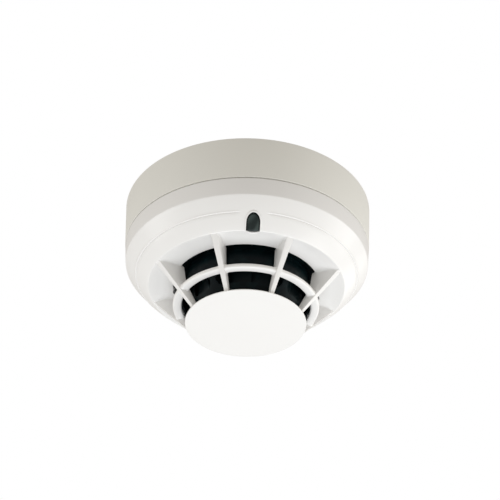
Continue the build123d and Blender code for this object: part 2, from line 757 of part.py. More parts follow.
def main():
    """Writes one STEP file per node."""
    os.makedirs("parts", exist_ok=True)
    contact_bearings = bearings(contact_count, first_contact_bearing)
    post_bearings = bearings(lug_count, first_post_bearing)

    write("base_shell", base_shell())
    spring = base_contact()
    for number, bearing in enumerate(contact_bearings, 1):
        write(f"base_contact_{number}", Rot(0, 0, bearing) * spring)
    write("clamp_plates", *(Rot(0, 0, b) * clamp_plate() for b in contact_bearings))
    write("terminal_screws", *(Rot(0, 0, b) * terminal_screw() for b in contact_bearings))

    write("head_housing", head_housing())
    for number, bearing in enumerate(contact_bearings, 1):
        write(f"head_contact_{number}", head_contact(bearing))
    write("cover_shell", cover_shell())
    ring = cage_ring()
    write("cage_ring", ring)
    write("cage_ribs", *cage_ribs(ring))
    write("end_disc", end_disc())
    write("indicator_lens", indicator_lens())

    write("chamber_base", chamber_base())
    write("chamber_labyrinth", labyrinth())
    write("insect_screen", insect_screen())
    write("infrared_emitter", Pos(-optic_offset(), 0, 0) * optic_part())
    write("photodiode", Pos(optic_offset(), 0, 0) * optic_part())
    write("thermistor_1", thermistor(1))
    write("thermistor_2", thermistor(-1))

    write("circuit_board", circuit_board())
    write("board_screws", *(board_screw(b) for b in post_bearings))
    write("tens_switch_body", switch_body(-1))
    write("units_switch_body", switch_body(1))
    write("tens_dial", switch_dial(-1))
    write("units_dial", switch_dial(1))
    write("microcontroller", microcontroller())
    write("capacitor", capacitor())
    write("surge_suppressor", surge_suppressor())
    write("reed_switch", reed_switch())
    write("surface_mount_parts", *surface_mount_parts())
    write("shield_can", shield_can())
    write("status_led", status_led())


main()
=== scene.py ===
"""Looks of the ceiling heat detector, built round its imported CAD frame.

Each sub-assembly is a class: its fields are sizes in millimetres and its methods build and dress the meshes.
The frame's origin is the centre of the ceiling face, +Z goes up into the ceiling and the indicator faces -Y.
"""
import logging
import math
from contextlib import contextmanager
from dataclasses import dataclass, field
from enum import Enum
from typing import Callable, Iterable, Iterator, Optional, Sequence, Union

import bmesh
import bpy
from mathutils import Matrix, Vector


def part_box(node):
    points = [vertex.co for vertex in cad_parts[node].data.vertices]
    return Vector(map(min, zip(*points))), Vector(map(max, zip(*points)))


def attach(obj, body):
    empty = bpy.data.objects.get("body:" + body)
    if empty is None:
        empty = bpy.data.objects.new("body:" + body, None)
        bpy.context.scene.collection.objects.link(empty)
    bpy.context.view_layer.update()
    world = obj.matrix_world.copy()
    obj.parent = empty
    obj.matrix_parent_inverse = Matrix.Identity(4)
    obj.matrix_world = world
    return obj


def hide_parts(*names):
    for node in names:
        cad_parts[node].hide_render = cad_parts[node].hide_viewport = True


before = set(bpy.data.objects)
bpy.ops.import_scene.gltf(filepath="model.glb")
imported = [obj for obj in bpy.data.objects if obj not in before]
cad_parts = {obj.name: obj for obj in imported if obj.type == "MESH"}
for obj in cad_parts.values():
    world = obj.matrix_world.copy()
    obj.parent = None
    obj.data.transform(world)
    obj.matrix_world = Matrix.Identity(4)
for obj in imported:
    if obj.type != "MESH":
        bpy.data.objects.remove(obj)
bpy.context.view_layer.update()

LOG = logging.getLogger("heat_detector")
MM = 0.001
KNEE_Z = -46.04  # Height of the chamber's knee, where the vanes bend too.
Point = tuple[float, float]
Triple = tuple[float, float, float]


class Body(Enum):
    """The rigid bodies of the frame that pieces ride on."""

    BASE = "base"
    HEAD = "head"


class Slot(Enum):
    """The names of the record's material slots, passed along with each new piece."""

    BASE_PLASTIC = "white_plastic_base"
    HEAD_PLASTIC = "white_plastic_head"
    STEEL = "plated_steel"
    LENS = "smoked_lens"
    BLACK = "black_plastic"
    MESH = "dark_mesh"
    SENSOR = "sensor_epoxy"


# ------------------------------------------------------------------------------------ shader helpers
def operator(operation: str, swapped: bool = False) -> Callable[["Value", "Number"], "Value"]:
    """Makes one two-sided operator of Value.

    Args:
        operation: Blender's name of the operation.
        swapped: Whether the other operand comes first.

    Returns:
        The operator.
    """
    def apply(value: "Value", other: "Number") -> "Value":
        """The result of the Math node that the operator adds."""
        return value.math(operation, *((other, value) if swapped else (value, other)))

    return apply


class Value:
    """A number in a material's node tree that turns Python operators into Math nodes."""

    def __init__(self, graph: "Graph", socket: bpy.types.NodeSocket) -> None:
        """Wraps a socket.

        Args:
            graph: The node tree's wrapper.
            socket: The output socket that carries the number.
        """
        self.graph = graph
        self.socket = socket

    def math(self, operation: str, first: "Number", second: "Number" = None) -> "Value":
        """Adds one Math node.

        Args:
            operation: Blender's name of the operation.
            first: The first operand.
            second: The second operand, if the operation takes one.

        Returns:
            The node's result.
        """
        inputs = {0: first} if second is None else {0: first, 1: second}
        return self.graph.node("ShaderNodeMath", {"operation": operation}, inputs).value()

    __add__ = operator("ADD")
    __radd__ = operator("ADD", True)
    __sub__ = operator("SUBTRACT")
    __rsub__ = operator("SUBTRACT", True)
    __mul__ = operator("MULTIPLY")
    __rmul__ = operator("MULTIPLY", True)
    __truediv__ = operator("DIVIDE")
    __rtruediv__ = operator("DIVIDE", True)
    __pow__ = operator("POWER")
    __lt__ = operator("LESS_THAN")
    __gt__ = operator("GREATER_THAN")
    largest = operator("MAXIMUM")

    def __neg__(self) -> "Value":
        """Negative."""
        return self * -1.0

    def __abs__(self) -> "Value":
        """Size without sign."""
        return self.math("ABSOLUTE", self)

    def fraction(self) -> "Value":
        """What stands behind the decimal point."""
        return self.math("FRACT", self)

    def ramp(self, low: float, high: float) -> "Value":
        """A soft step from 0 at low to 1 at high.

        Args:
            low: Where the step starts.
            high: Where it ends.

        Returns:
            The stepped number.
        """
        return self.graph.node("ShaderNodeMapRange", {"interpolation_type": "SMOOTHSTEP"}, {
            "Value": self, "From Min": low, "From Max": high}).value()


Number = Union[Value, float, None]


class Node:
    """One node with its outputs at hand."""

    def __init__(self, graph: "Graph", node: bpy.types.Node) -> None:
        """Wraps a node of a graph."""
        self.graph = graph
        self.node = node

    def value(self, output: Union[int, str] = 0) -> Value:
        """The named or numbered output as a number."""
        return Value(self.graph, self.node.outputs[output])

    def socket(self, output: Union[int, str] = 0) -> bpy.types.NodeSocket:
        """The named or numbered output as it is."""
        return self.node.outputs[output]

    def put(self, **given: object) -> None:
        """Sets or links its inputs; underscores stand for spaces."""
        for name, thing in given.items():
            self.graph.feed(self.node.inputs[name.replace("_", " ")], thing)


class Graph:
    """A node tree that is filled node by node."""

    def __init__(self, tree: bpy.types.NodeTree) -> None:
        """Starts with an empty tree."""
        self.tree = tree
        tree.nodes.clear()

    def node(self, kind: str, settings: Optional[dict] = None, inputs: Optional[dict] = None) -> Node:
        """Adds one node.

        Args:
            kind: The node's type name.
            settings: Its properties, set before any socket.
            inputs: Values or links for its input sockets, by name or number.

        Returns:
            The new node.
        """
        made = self.tree.nodes.new(kind)
        for name, setting in (settings or {}).items():
            setattr(made, name, setting)
        for name, given in (inputs or {}).items():
            self.feed(made.inputs[name], given)
        return Node(self, made)

    def feed(self, target: bpy.types.NodeSocket, given: object) -> None:
        """Sets or links one input socket.

        Args:
            target: The input socket.
            given: A Value, a Node, an output socket or a plain value.
        """
        if isinstance(given, Value):
            self.tree.links.new(given.socket, target)
        elif isinstance(given, Node):
            self.tree.links.new(given.socket(), target)
        elif isinstance(given, bpy.types.NodeSocket):
            self.tree.links.new(given, target)
        else:
            target.default_value = given

    def place(self, stretch: Triple = (1.0, 1.0, 1.0), turn: Triple = (0.0, 0.0, 0.0)) -> Node:
        """Object coordinates in millimetres, turned and stretched by a Mapping node."""
        coordinates = self.node("ShaderNodeTexCoord").socket("Object")
        return self.node("ShaderNodeMapping", {}, {
            "Vector": coordinates, "Scale": tuple(share / MM for share in stretch), "Rotation": turn})

    def noise(self, place: Node, size: float, detail: float = 3.0, roughness: float = 0.55) -> Value:
        """Cloudy noise whose lumps are about size millimetres across."""
        return self.node("ShaderNodeTexNoise", {"noise_dimensions": "3D"}, {
            "Vector": place, "Scale": 1.0 / size, "Detail": detail, "Roughness": roughness}).value("Fac")

    def cells(self, place: Node, size: float) -> Value:
        """Distance to scattered points that lie about size millimetres apart."""
        return self.node("ShaderNodeTexVoronoi", {}, {"Vector": place, "Scale": 1.0 / size}).value("Distance")

    def axes(self, place: Node) -> tuple[Value, Value, Value]:
        """The three parts of a place, in millimetres."""
        split = self.node("ShaderNodeSeparateXYZ", {}, {0: place})
        return split.value("X"), split.value("Y"), split.value("Z")

    def blend(self, factor: Number, first: object, second: object) -> bpy.types.NodeSocket:
        """Mixes two colours.

        Args:
            factor: 0 for the first colour, 1 for the second.
            first: A colour or a colour socket.
            second: A colour or a colour socket.

        Returns:
            The mixed colour's socket.
        """
        made = self.node("ShaderNodeMix", {"data_type": "RGBA", "blend_type": "MIX"}, {0: factor})
        for number, given in ((6, first), (7, second)):
            self.feed(made.node.inputs[number], (*given, 1.0) if isinstance(given, tuple) else given)
        return made.node.outputs[2]

    def bump(self, height: Value, depth: float, strength: float = 1.0,
             normal: Optional[Node] = None) -> Node:
        """A Bump node for a height between 0 and 1 that stands for depth millimetres."""
        inputs = {"Height": height, "Distance": depth * MM, "Strength": strength}
        if normal is not None:
            inputs["Normal"] = normal
        return self.node("ShaderNodeBump", {}, inputs)


class Finish:
    """A surface finish. Each kind of finish fills in its own shader."""

    name: str

    def material(self) -> bpy.types.Material:
        """The finish's material, made the first time that it is asked for."""
        known = bpy.data.materials.get(self.name)
        if known is not None:
            return known
        made = bpy.data.materials.new(self.name)
        made.use_nodes = True
        graph = Graph(made.node_tree)
        shader = graph.node("ShaderNodeBsdfPrincipled", {}, {"Base Color": (0.8, 0.8, 0.8, 1.0)})
        self.shade(graph, shader)
        graph.node("ShaderNodeOutputMaterial", {}, {"Surface": shader.socket("BSDF")})
        return made

    def shade(self, graph: Graph, shader: Node) -> None:
        """Fills in the shader.

        Args:
            graph: The material's node tree.
            shader: Its Principled shader.
        """
        raise NotImplementedError


@dataclass(frozen=True)
class MouldedPlastic(Finish):
    """Injection-moulded plastic: fine spark-eroded grain, faint flow clouds and a few handling marks."""

    name: str
    colour: Triple
    tint: Triple
    roughness: float
    grain: float = 0.16
    grain_depth: float = 0.006
    sheen_spread: float = 0.05
    coat: float = 0.0
    mark: float = 0.04
    specular: float = 0.5

    def shade(self, graph: Graph, shader: Node) -> None:
        """See Finish.shade."""
        place = graph.place()
        clouds = graph.noise(place, 34.0, 2.0)
        flow = graph.noise(graph.place((1.0, 1.0, 0.35)), 9.0, 4.0)
        fine = graph.noise(place, self.grain, 2.0, 0.6)
        pits = graph.cells(place, self.grain * 2.2)
        marks = graph.noise(graph.place((0.25, 1.0, 1.0), (0.3, 0.5, 0.9)), 1.1, 5.0, 0.7).ramp(0.66, 0.74)
        dust = graph.noise(place, 3.2, 6.0, 0.72).ramp(0.6, 0.82)
        shift = (0.75 * clouds + 0.25 * flow).ramp(0.36, 0.66)
        colour = graph.blend(0.55 * shift, self.colour, self.tint)
        dusty = tuple(0.86 * c for c in self.tint)
        colour = graph.blend(0.05 * dust + self.mark * marks, colour, dusty)
        roughness = self.roughness + self.sheen_spread * (flow - 0.5) + 0.05 * marks + 0.03 * dust
        height = 0.6 * fine + 0.4 * pits
        grain = graph.bump(height, self.grain_depth, 0.55)
        waves = graph.bump(graph.noise(place, 14.0, 1.0), 0.05, 0.35, grain)
        shader.put(Base_Color=colour, Roughness=roughness, Normal=waves,
                   Specular_IOR_Level=self.specular, Coat_Weight=self.coat, Coat_Roughness=0.12, IOR=1.52)


@dataclass(frozen=True)
class SmokedLens(Finish):
    """Dark smoked acrylic over a light pipe: glossy, with a painted shadow along its border and a hazy inside
    with painted highlights.
    """

    name: str
    centre: Point
    half_width: float
    half_length: float

    def shade(self, graph: Graph, shader: Node) -> None:
        """See Finish.shade."""
        place = graph.place()
        x, y, _ = graph.axes(place)
        across, along = x - self.centre[0], y - self.centre[1]
        round_end = -along - (self.half_length - self.half_width)
        outer = (across * across + round_end.largest(0.0) ** 2.0) ** 0.5
        # Painted shadow: a near-black band along the window's border, where the gap round it falls in shade.
        painted_shadow_border = outer.ramp(self.half_width - 0.75, self.half_width - 0.15)
        painted_shadow_border = painted_shadow_border.largest((along - self.half_length).ramp(-0.9, -0.25))
        streaks = graph.noise(graph.place((1.0, 0.35, 0.35)), 0.5, 4.0, 0.6)
        # Painted highlights: lighter haze towards the round outer end on the -X side and towards the inner
        # end on the +X side.
        upper = (0.45 * -across - 0.55 * along).ramp(0.2, 2.0)
        painted_lower_highlight = (0.75 * across + 0.5 * along).ramp(0.7, 1.9)
        haze_and_painted_highlights = 0.25 + 0.75 * upper.largest(0.8 * painted_lower_highlight) + 0.3 * (streaks - 0.5)
        haze_and_painted_highlights = haze_and_painted_highlights.largest(0.0) * (1.0 - painted_shadow_border)
        # Near-black for the lens and its painted shadow border, blended towards grey-teal for its haze and
        # painted highlights.
        colour = graph.blend(haze_and_painted_highlights, (0.0035, 0.0065, 0.0068), (0.052, 0.070, 0.066))
        scratch = graph.noise(graph.place((0.2, 1.0, 1.0), (0.2, 0.4, 0.7)), 0.35, 3.0, 0.7).ramp(0.62, 0.7)
        shader.put(Base_Color=colour, Roughness=0.10 + 0.12 * scratch + 0.06 * streaks,
                   Normal=graph.bump(streaks, 0.02, 0.2), Coat_Weight=0.08, Coat_Roughness=0.04, IOR=1.49,
                   Specular_IOR_Level=0.16)


@dataclass(frozen=True)
class BlackPlastic(Finish):
    """Deep matt black moulding of the sensing chamber, with a faint cold sheen painted into its colour in
    streaky patches.
    """

    name: str
    colour: Triple = (0.0008, 0.0036, 0.0048)
    # Colour of a painted sheen: a faint cold highlight, not a tone of the plastic.
    edge: Triple = (0.0040, 0.0170, 0.0190)
    roughness: float = 0.42
    specular: float = 0.10

    def shade(self, graph: Graph, shader: Node) -> None:
        """See Finish.shade."""
        place = graph.place()
        painted_sheen_patches = graph.noise(place, 5.0, 3.0).ramp(0.42, 0.68)
        lines = graph.noise(graph.place((1.0, 1.0, 0.15)), 0.9, 3.0)
        fine = graph.noise(place, 0.22, 3.0, 0.65)
        # Painted sheen: the base colour is lifted towards a cold highlight where the patches and streaks
        # meet.
        colour = graph.blend(0.7 * painted_sheen_patches * lines, self.colour, self.edge)
        shader.put(Base_Color=colour, Roughness=self.roughness + 0.18 * (lines - 0.5),
                   Normal=graph.bump(fine, 0.02, 0.6), Specular_IOR_Level=self.specular)


@dataclass(frozen=True)
class PlatedMetal(Finish):
    """Plated metal with drawn lines, spotty dulling and fine scratches."""

    name: str
    colour: Triple
    dull: Triple
    roughness: float = 0.28
    stretch: Triple = (0.06, 1.0, 1.0)

    def shade(self, graph: Graph, shader: Node) -> None:
        """See Finish.shade."""
        place = graph.place()
        drawn = graph.noise(graph.place(self.stretch), 0.12, 4.0, 0.7)
        spots = graph.noise(place, 1.6, 5.0, 0.65).ramp(0.5, 0.72)
        scratches = graph.noise(graph.place((1.0, 0.05, 1.0), (0.2, 0.1, 0.8)), 0.2, 3.0, 0.7).ramp(0.64, 0.7)
        colour = graph.blend(0.65 * spots + 0.2 * (drawn - 0.5), self.colour, self.dull)
        roughness = self.roughness + 0.16 * spots + 0.12 * (drawn - 0.5) + 0.1 * scratches
        shader.put(Base_Color=colour, Metallic=1.0 - 0.12 * spots, Roughness=roughness,
                   Normal=graph.bump(drawn - 0.5 * scratches, 0.006, 0.5))


@dataclass(frozen=True)
class BoardResist(Finish):
    """Printed board: green resist over copper tracks that stand a little proud, with tinned pads."""

    name: str

    def shade(self, graph: Graph, shader: Node) -> None:
        """See Finish.shade."""
        place = graph.place()
        x, y, _ = graph.axes(place)
        wander = 3.0 * graph.noise(place, 11.0, 1.0)
        across = ((x + wander) / 2.1).fraction()
        along = ((y - wander) / 3.3).fraction()
        zone = graph.noise(place, 16.0, 0.0).ramp(0.48, 0.5)
        track = zone * (abs(across - 0.5) < 0.17) + (1.0 - zone) * (abs(along - 0.5) < 0.14)
        pads = (graph.cells(place, 4.2) < 0.16) * (graph.noise(place, 7.0, 1.0) > 0.5)
        weave = graph.node("ShaderNodeTexChecker", {}, {"Vector": place, "Scale": 1.6}).value("Fac")
        green = graph.blend(0.25 * weave, (0.012, 0.085, 0.035), (0.010, 0.070, 0.030))
        colour = graph.blend(0.6 * track, green, (0.045, 0.20, 0.075))
        colour = graph.blend(pads, colour, (0.72, 0.70, 0.62))
        shader.put(Base_Color=colour, Metallic=pads, Roughness=0.3 + 0.1 * weave,
                   Normal=graph.bump(track + pads, 0.035, 0.8), Coat_Weight=0.3, Coat_Roughness=0.2)


@dataclass(frozen=True)
class PackageEpoxy(Finish):
    """Moulded electronic package or small ceramic part: speckled filler and paler tinned ends."""

    name: str
    body: Triple
    speck: Triple
    ends: Optional[Triple] = None
    pitch: float = 3.6

    def shade(self, graph: Graph, shader: Node) -> None:
        """See Finish.shade."""
        place = graph.place()
        specks = graph.cells(place, 0.22) < 0.2
        cloud = graph.noise(place, 2.4, 3.0)
        colour = graph.blend(0.4 * specks + 0.3 * cloud, self.body, self.speck)
        metal: Number = 0.0
        if self.ends is not None:
            x, _, _ = graph.axes(place)
            step = abs((x / self.pitch + 0.5).fraction() - 0.5) * self.pitch
            metal = (step > 0.65) * (step < 1.1)
            colour = graph.blend(metal, colour, self.ends)
        shader.put(Base_Color=colour, Metallic=metal, Roughness=0.5 + 0.2 * (cloud - 0.5),
                   Normal=graph.bump(specks + cloud, 0.01, 0.5))


@dataclass(frozen=True)
class SensorGlass(Finish):
    """Glassy bead, with tinned leads above a given height."""

    name: str
    lead_height: float
    body: Triple = (0.30, 0.11, 0.025)
    swirl: Triple = (0.46, 0.20, 0.05)

    def shade(self, graph: Graph, shader: Node) -> None:
        """See Finish.shade."""
        place = graph.place()
        _, _, z = graph.axes(place)
        lead = z > self.lead_height
        swirl = graph.noise(place, 0.7, 4.0)
        glass = graph.blend(swirl.ramp(0.4, 0.6), self.body, self.swirl)
        colour = graph.blend(lead, glass, (0.68, 0.67, 0.63))
        shader.put(Base_Color=colour, Metallic=lead, Roughness=0.08 + 0.22 * lead + 0.05 * swirl,
                   Normal=graph.bump(swirl, 0.02, 0.3), Coat_Weight=0.5, Coat_Roughness=0.05)


@dataclass(frozen=True)
class WovenMesh(Finish):
    """Blackened fine wire cloth."""

    name: str

    def shade(self, graph: Graph, shader: Node) -> None:
        """See Finish.shade."""
        place = graph.place()
        wear = graph.noise(place, 1.3, 4.0).ramp(0.5, 0.75)
        fine = graph.noise(place, 0.12, 2.0)
        colour = graph.blend(wear, (0.006, 0.009, 0.010), (0.03, 0.034, 0.034))
        shader.put(Base_Color=colour, Metallic=0.6 * wear, Roughness=0.5 + 0.15 * fine,
                   Normal=graph.bump(fine, 0.008, 0.5), Specular_IOR_Level=0.2)


@dataclass(frozen=True)
class PaleFloor(Finish):
    """Plain pale studio floor."""

    name: str
    colour: Triple = (0.80, 0.80, 0.79)

    def shade(self, graph: Graph, shader: Node) -> None:
        """See Finish.shade."""
        cloud = graph.noise(graph.place(), 400.0, 2.0)
        colour = graph.blend(cloud, self.colour, tuple(0.985 * c for c in self.colour))
        shader.put(Base_Color=colour, Roughness=0.8 + 0.05 * cloud)


BASE_PLASTIC = MouldedPlastic("base_plastic", (0.763, 0.757, 0.709), (0.740, 0.736, 0.694), 0.46, 0.22, 0.012)
HEAD_PLASTIC = MouldedPlastic("head_plastic", (0.828, 0.823, 0.808), (0.814, 0.805, 0.790), 0.30, 0.16, 0.004,
                              0.06, 0.12, 0.03, 0.5)
HOUSING_PLASTIC = MouldedPlastic("housing_plastic", (0.76, 0.745, 0.71), (0.74, 0.72, 0.685), 0.42)
SWITCH_PLASTIC = MouldedPlastic("switch_plastic", (0.020, 0.050, 0.150), (0.024, 0.060, 0.170), 0.40)
DIAL_PLASTIC = MouldedPlastic("dial_plastic", (0.76, 0.74, 0.68), (0.72, 0.70, 0.64), 0.38)
LAMP_PLASTIC = MouldedPlastic("lamp_plastic", (0.70, 0.66, 0.60), (0.74, 0.62, 0.55), 0.12, 0.3, 0.002)
OPTIC_EPOXY = MouldedPlastic("optic_epoxy", (0.010, 0.008, 0.018), (0.016, 0.010, 0.026), 0.10, 0.3, 0.002)
CHAMBER_BLACK = BlackPlastic("chamber_black")
NICKEL_STEEL = PlatedMetal("nickel_steel", (0.66, 0.65, 0.61), (0.42, 0.41, 0.38), 0.26)
TINNED_BRONZE = PlatedMetal("tinned_bronze", (0.72, 0.68, 0.58), (0.50, 0.42, 0.28), 0.24, (1.0, 1.0, 0.08))
CAN_ALUMINIUM = PlatedMetal("can_aluminium", (0.76, 0.77, 0.78), (0.56, 0.57, 0.58), 0.22, (1.0, 1.0, 0.05))
BOARD_GREEN = BoardResist("board_resist")
CHIP_EPOXY = PackageEpoxy("chip_epoxy", (0.012, 0.012, 0.013), (0.035, 0.035, 0.036))
CHIP_CERAMIC = PackageEpoxy("ceramic_parts", (0.30, 0.22, 0.14), (0.40, 0.32, 0.22), (0.70, 0.69, 0.66))
SCREEN_WIRE = WovenMesh("screen_wire")
FLOOR_PALE = PaleFloor("floor_pale")


# ------------------------------------------------------------------------------------ mesh helpers
@dataclass(frozen=True)
class Corner:
    """One corner of an outline, with its rounding."""

    r: float
    z: float
    fillet: float = 0.0
    steps: int = 5


def rounded(corners: Sequence[Corner], closed: bool = True) -> list[Point]:
    """Turns corners into points, with an arc at each rounded corner.

    Args:
        corners: The outline's corners in order.
        closed: Whether the last corner joins the first.

    Returns:
        The outline's points.
    """
    points: list[Point] = []
    count = len(corners)
    for number, corner in enumerate(corners):
        here = Vector((corner.r, corner.z))
        if corner.fillet <= 0 or (not closed and number in (0, count - 1)):
            points.append((here.x, here.y))
            continue
        before = Vector((corners[number - 1].r, corners[number - 1].z))
        after = Vector((corners[(number + 1) % count].r, corners[(number + 1) % count].z))
        back, ahead = (before - here), (after - here)
        half = back.angle(ahead) / 2
        reach = min(corner.fillet / math.tan(half), 0.48 * back.length, 0.48 * ahead.length)
        start, end = here + back.normalized() * reach, here + ahead.normalized() * reach
        centre = here + (back.normalized() + ahead.normalized()).normalized() * (reach / math.cos(half))
        first, last = start - centre, end - centre
        sweep = first.angle_signed(last)
        for step in range(corner.steps + 1):
            spoke = first.copy()
            spoke.rotate(Matrix.Rotation(-sweep * step / corner.steps, 2))
            points.append((centre.x + spoke.x, centre.y + spoke.y))
    return points


@contextmanager
def editing(mesh: bpy.types.Mesh) -> Iterator[bmesh.types.BMesh]:
    """Opens a mesh for changes and writes it back with its faces turned outwards.

    Args:
        mesh: The mesh, changed in place.

    Yields:
        The opened mesh.
    """
    work = bmesh.new()
    work.from_mesh(mesh)
    yield work
    bmesh.ops.recalc_face_normals(work, faces=work.faces)
    work.to_mesh(mesh)
    work.free()


class Forge:
    """Makes finished mesh objects from points and faces."""

    @staticmethod
    def mesh(name: str, points: Iterable[Triple], faces: Iterable[Sequence[int]],
             tidy: bool = True) -> bpy.types.Mesh:
        """Makes a mesh from points in millimetres.

        Args:
            name: The mesh's name.
            points: Its points, in millimetres.
            faces: Its faces.
            tidy: Whether to merge doubles and turn the faces outwards.

        Returns:
            The mesh, in metres.
        """
        made = bpy.data.meshes.new(name)
        made.from_pydata([(x * MM, y * MM, z * MM) for x, y, z in points], [], [tuple(f) for f in faces])
        if tidy:
            with editing(made) as work:
                bmesh.ops.remove_doubles(work, verts=work.verts, dist=1e-6)
        return made

    @classmethod
    def loft(cls, name: str, rows: Sequence[Sequence[Triple]], around: bool = False,
             closed: bool = True) -> bpy.types.Mesh:
        """Joins rows that all have as many points.

        Args:
            name: The mesh's name.
            rows: The rows of points, in millimetres.
            around: Whether the last row joins the first. Otherwise the end rows become faces.
            closed: Whether each row closes on itself.

        Returns:
            The closed mesh.
        """
        count, size = len(rows), len(rows[0])
        ends = () if around else (0, count - 1)
        faces: list[Sequence[int]] = [range(end * size, (end + 1) * size) for end in ends]
        for number in range(count if around else count - 1):
            here, there = number * size, (number + 1) % count * size
            for k in range(size if closed else size - 1):
                n = (k + 1) % size
                faces.append((here + k, here + n, there + n, there + k))
        return cls.mesh(name, [point for row in rows for point in row], faces)

    @classmethod
    def lathe(cls, name: str, outline: Callable[[float], Sequence[Point]], segments: int,
              closed: bool = True) -> bpy.types.Mesh:
        """Turns an outline round Z.

        Args:
            name: The mesh's name.
            outline: Gives the outline at a bearing in radians, always with as many points.
            segments: How many steps the turn takes.
            closed: Whether the outline closes on itself away from the axis.

        Returns:
            The closed mesh.
        """
        bearings = (2 * math.pi * number / segments for number in range(segments))
        rows = [[(r * math.cos(b), r * math.sin(b), z) for r, z in outline(b)] for b in bearings]
        return cls.loft(name, rows, True, closed)

    @classmethod
    def turned(cls, name: str, outline: Sequence[Point], segments: int,
               closed: bool = True) -> bpy.types.Mesh:
        """Turns the same outline all the way round Z."""
        return cls.lathe(name, lambda bearing: outline, segments, closed)

    @classmethod
    def prism(cls, name: str, outline: Sequence[Point], half: Callable[[float, float], float],
              bevel: float) -> bpy.types.Mesh:
        """A plate in the XZ plane with a thickness along Y.

        Args:
            name: The mesh's name.
            outline: Its (x, z) outline.
            half: Half its thickness at a point.
            bevel: The rounding of its edges.

        Returns:
            The closed mesh.
        """
        made = cls.loft(name, [[(x, side * half(x, z), z) for x, z in outline] for side in (-1, 1)])
        return cls.rounded_edges(made, bevel)

    @staticmethod
    def rounded_edges(mesh: bpy.types.Mesh, size: float, steps: int = 3,
                      sharper: float = 30.0) -> bpy.types.Mesh:
        """Rounds the edges of a mesh that are sharper than an angle.

        Args:
            mesh: The mesh, changed in place.
            size: The rounding in millimetres.
            steps: How many steps it takes.
            sharper: The angle in degrees.

        Returns:
            The same mesh.
        """
        limit = math.radians(sharper)
        with editing(mesh) as work:
            edges = [e for e in work.edges if len(e.link_faces) == 2 and e.calc_face_angle(0.0) > limit]
            bmesh.ops.bevel(work, geom=edges, offset=size * MM, segments=steps, profile=0.5, affect="EDGES",
                            clamp_overlap=True)
        return mesh

    @classmethod
    def column(cls, name: str, outline: Sequence[Point], low: float, high: float) -> bpy.types.Mesh:
        """An upright prism over an (x, y) outline between two heights."""
        return cls.loft(name, [[(x, y, z) for x, y in outline] for z in (low, high)])

    @classmethod
    def box(cls, name: str, low: Triple, high: Triple, bevel: float = 0.2) -> bpy.types.Mesh:
        """A block between two corners with rounded edges."""
        outline = ((low[0], low[1]), (high[0], low[1]), (high[0], high[1]), (low[0], high[1]))
        return cls.rounded_edges(cls.column(name, outline, low[2], high[2]), bevel)

    @staticmethod
    def merged(name: str, meshes: Sequence[bpy.types.Mesh]) -> bpy.types.Mesh:
        """One mesh from several closed ones."""
        work = bmesh.new()
        for mesh in meshes:
            work.from_mesh(mesh)
        made = bpy.data.meshes.new(name)
        work.to_mesh(made)
        work.free()
        return made

    @staticmethod
    def thing(name: str, mesh: bpy.types.Mesh) -> bpy.types.Object:
        """Puts a mesh in the scene as an object at the origin."""
        made = bpy.data.objects.new(name, mesh)
        bpy.context.scene.collection.objects.link(made)
        return made

    @staticmethod
    def frozen(thing: bpy.types.Object) -> bpy.types.Mesh:
        """The plain mesh of an object as its modifiers leave it, which are then removed with the object."""
        depsgraph = bpy.context.evaluated_depsgraph_get()
        mesh = bpy.data.meshes.new_from_object(thing.evaluated_get(depsgraph))
        bpy.data.objects.remove(thing)
        return mesh

    @classmethod
    def cut(cls, name: str, mesh: bpy.types.Mesh, cutter: bpy.types.Mesh) -> bpy.types.Mesh:
        """Takes one closed mesh out of another."""
        body, tool = cls.thing(name, mesh), cls.thing(name + "_cutter", cutter)
        boolean = body.modifiers.new("cut", "BOOLEAN")
        boolean.operation, boolean.solver, boolean.object = "DIFFERENCE", "EXACT", tool
        made = cls.frozen(body)
        bpy.data.objects.remove(tool)
        return made

    @classmethod
    def piece(cls, name: str, mesh: bpy.types.Mesh, finish: Finish, body: Body, slot: Slot,
              stands_for: Sequence[str], crease: float = 35.0) -> bpy.types.Object:
        """Dresses a finished mesh and hangs it on its body.

        Args:
            name: The piece's name.
            mesh: Its mesh.
            finish: Its finish.
            body: The body that it rides on.
            slot: The record's material slot of its finish; not used.
            stands_for: The CAD nodes that it replaces.
            crease: Edges sharper than this many degrees stay sharp.

        Returns:
            The piece's object.
        """
        mesh.materials.clear()
        mesh.materials.append(finish.material())
        mesh.polygons.foreach_set("material_index", [0] * len(mesh.polygons))
        mesh.shade_smooth()
        mesh.set_sharp_from_angle(angle=math.radians(crease))
        made = cls.thing(name, mesh)
        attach(made, body.value)
        if stands_for:
            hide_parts(*stands_for)
        LOG.info("%s: %d faces on %s", name, len(mesh.polygons), body.value)
        return made


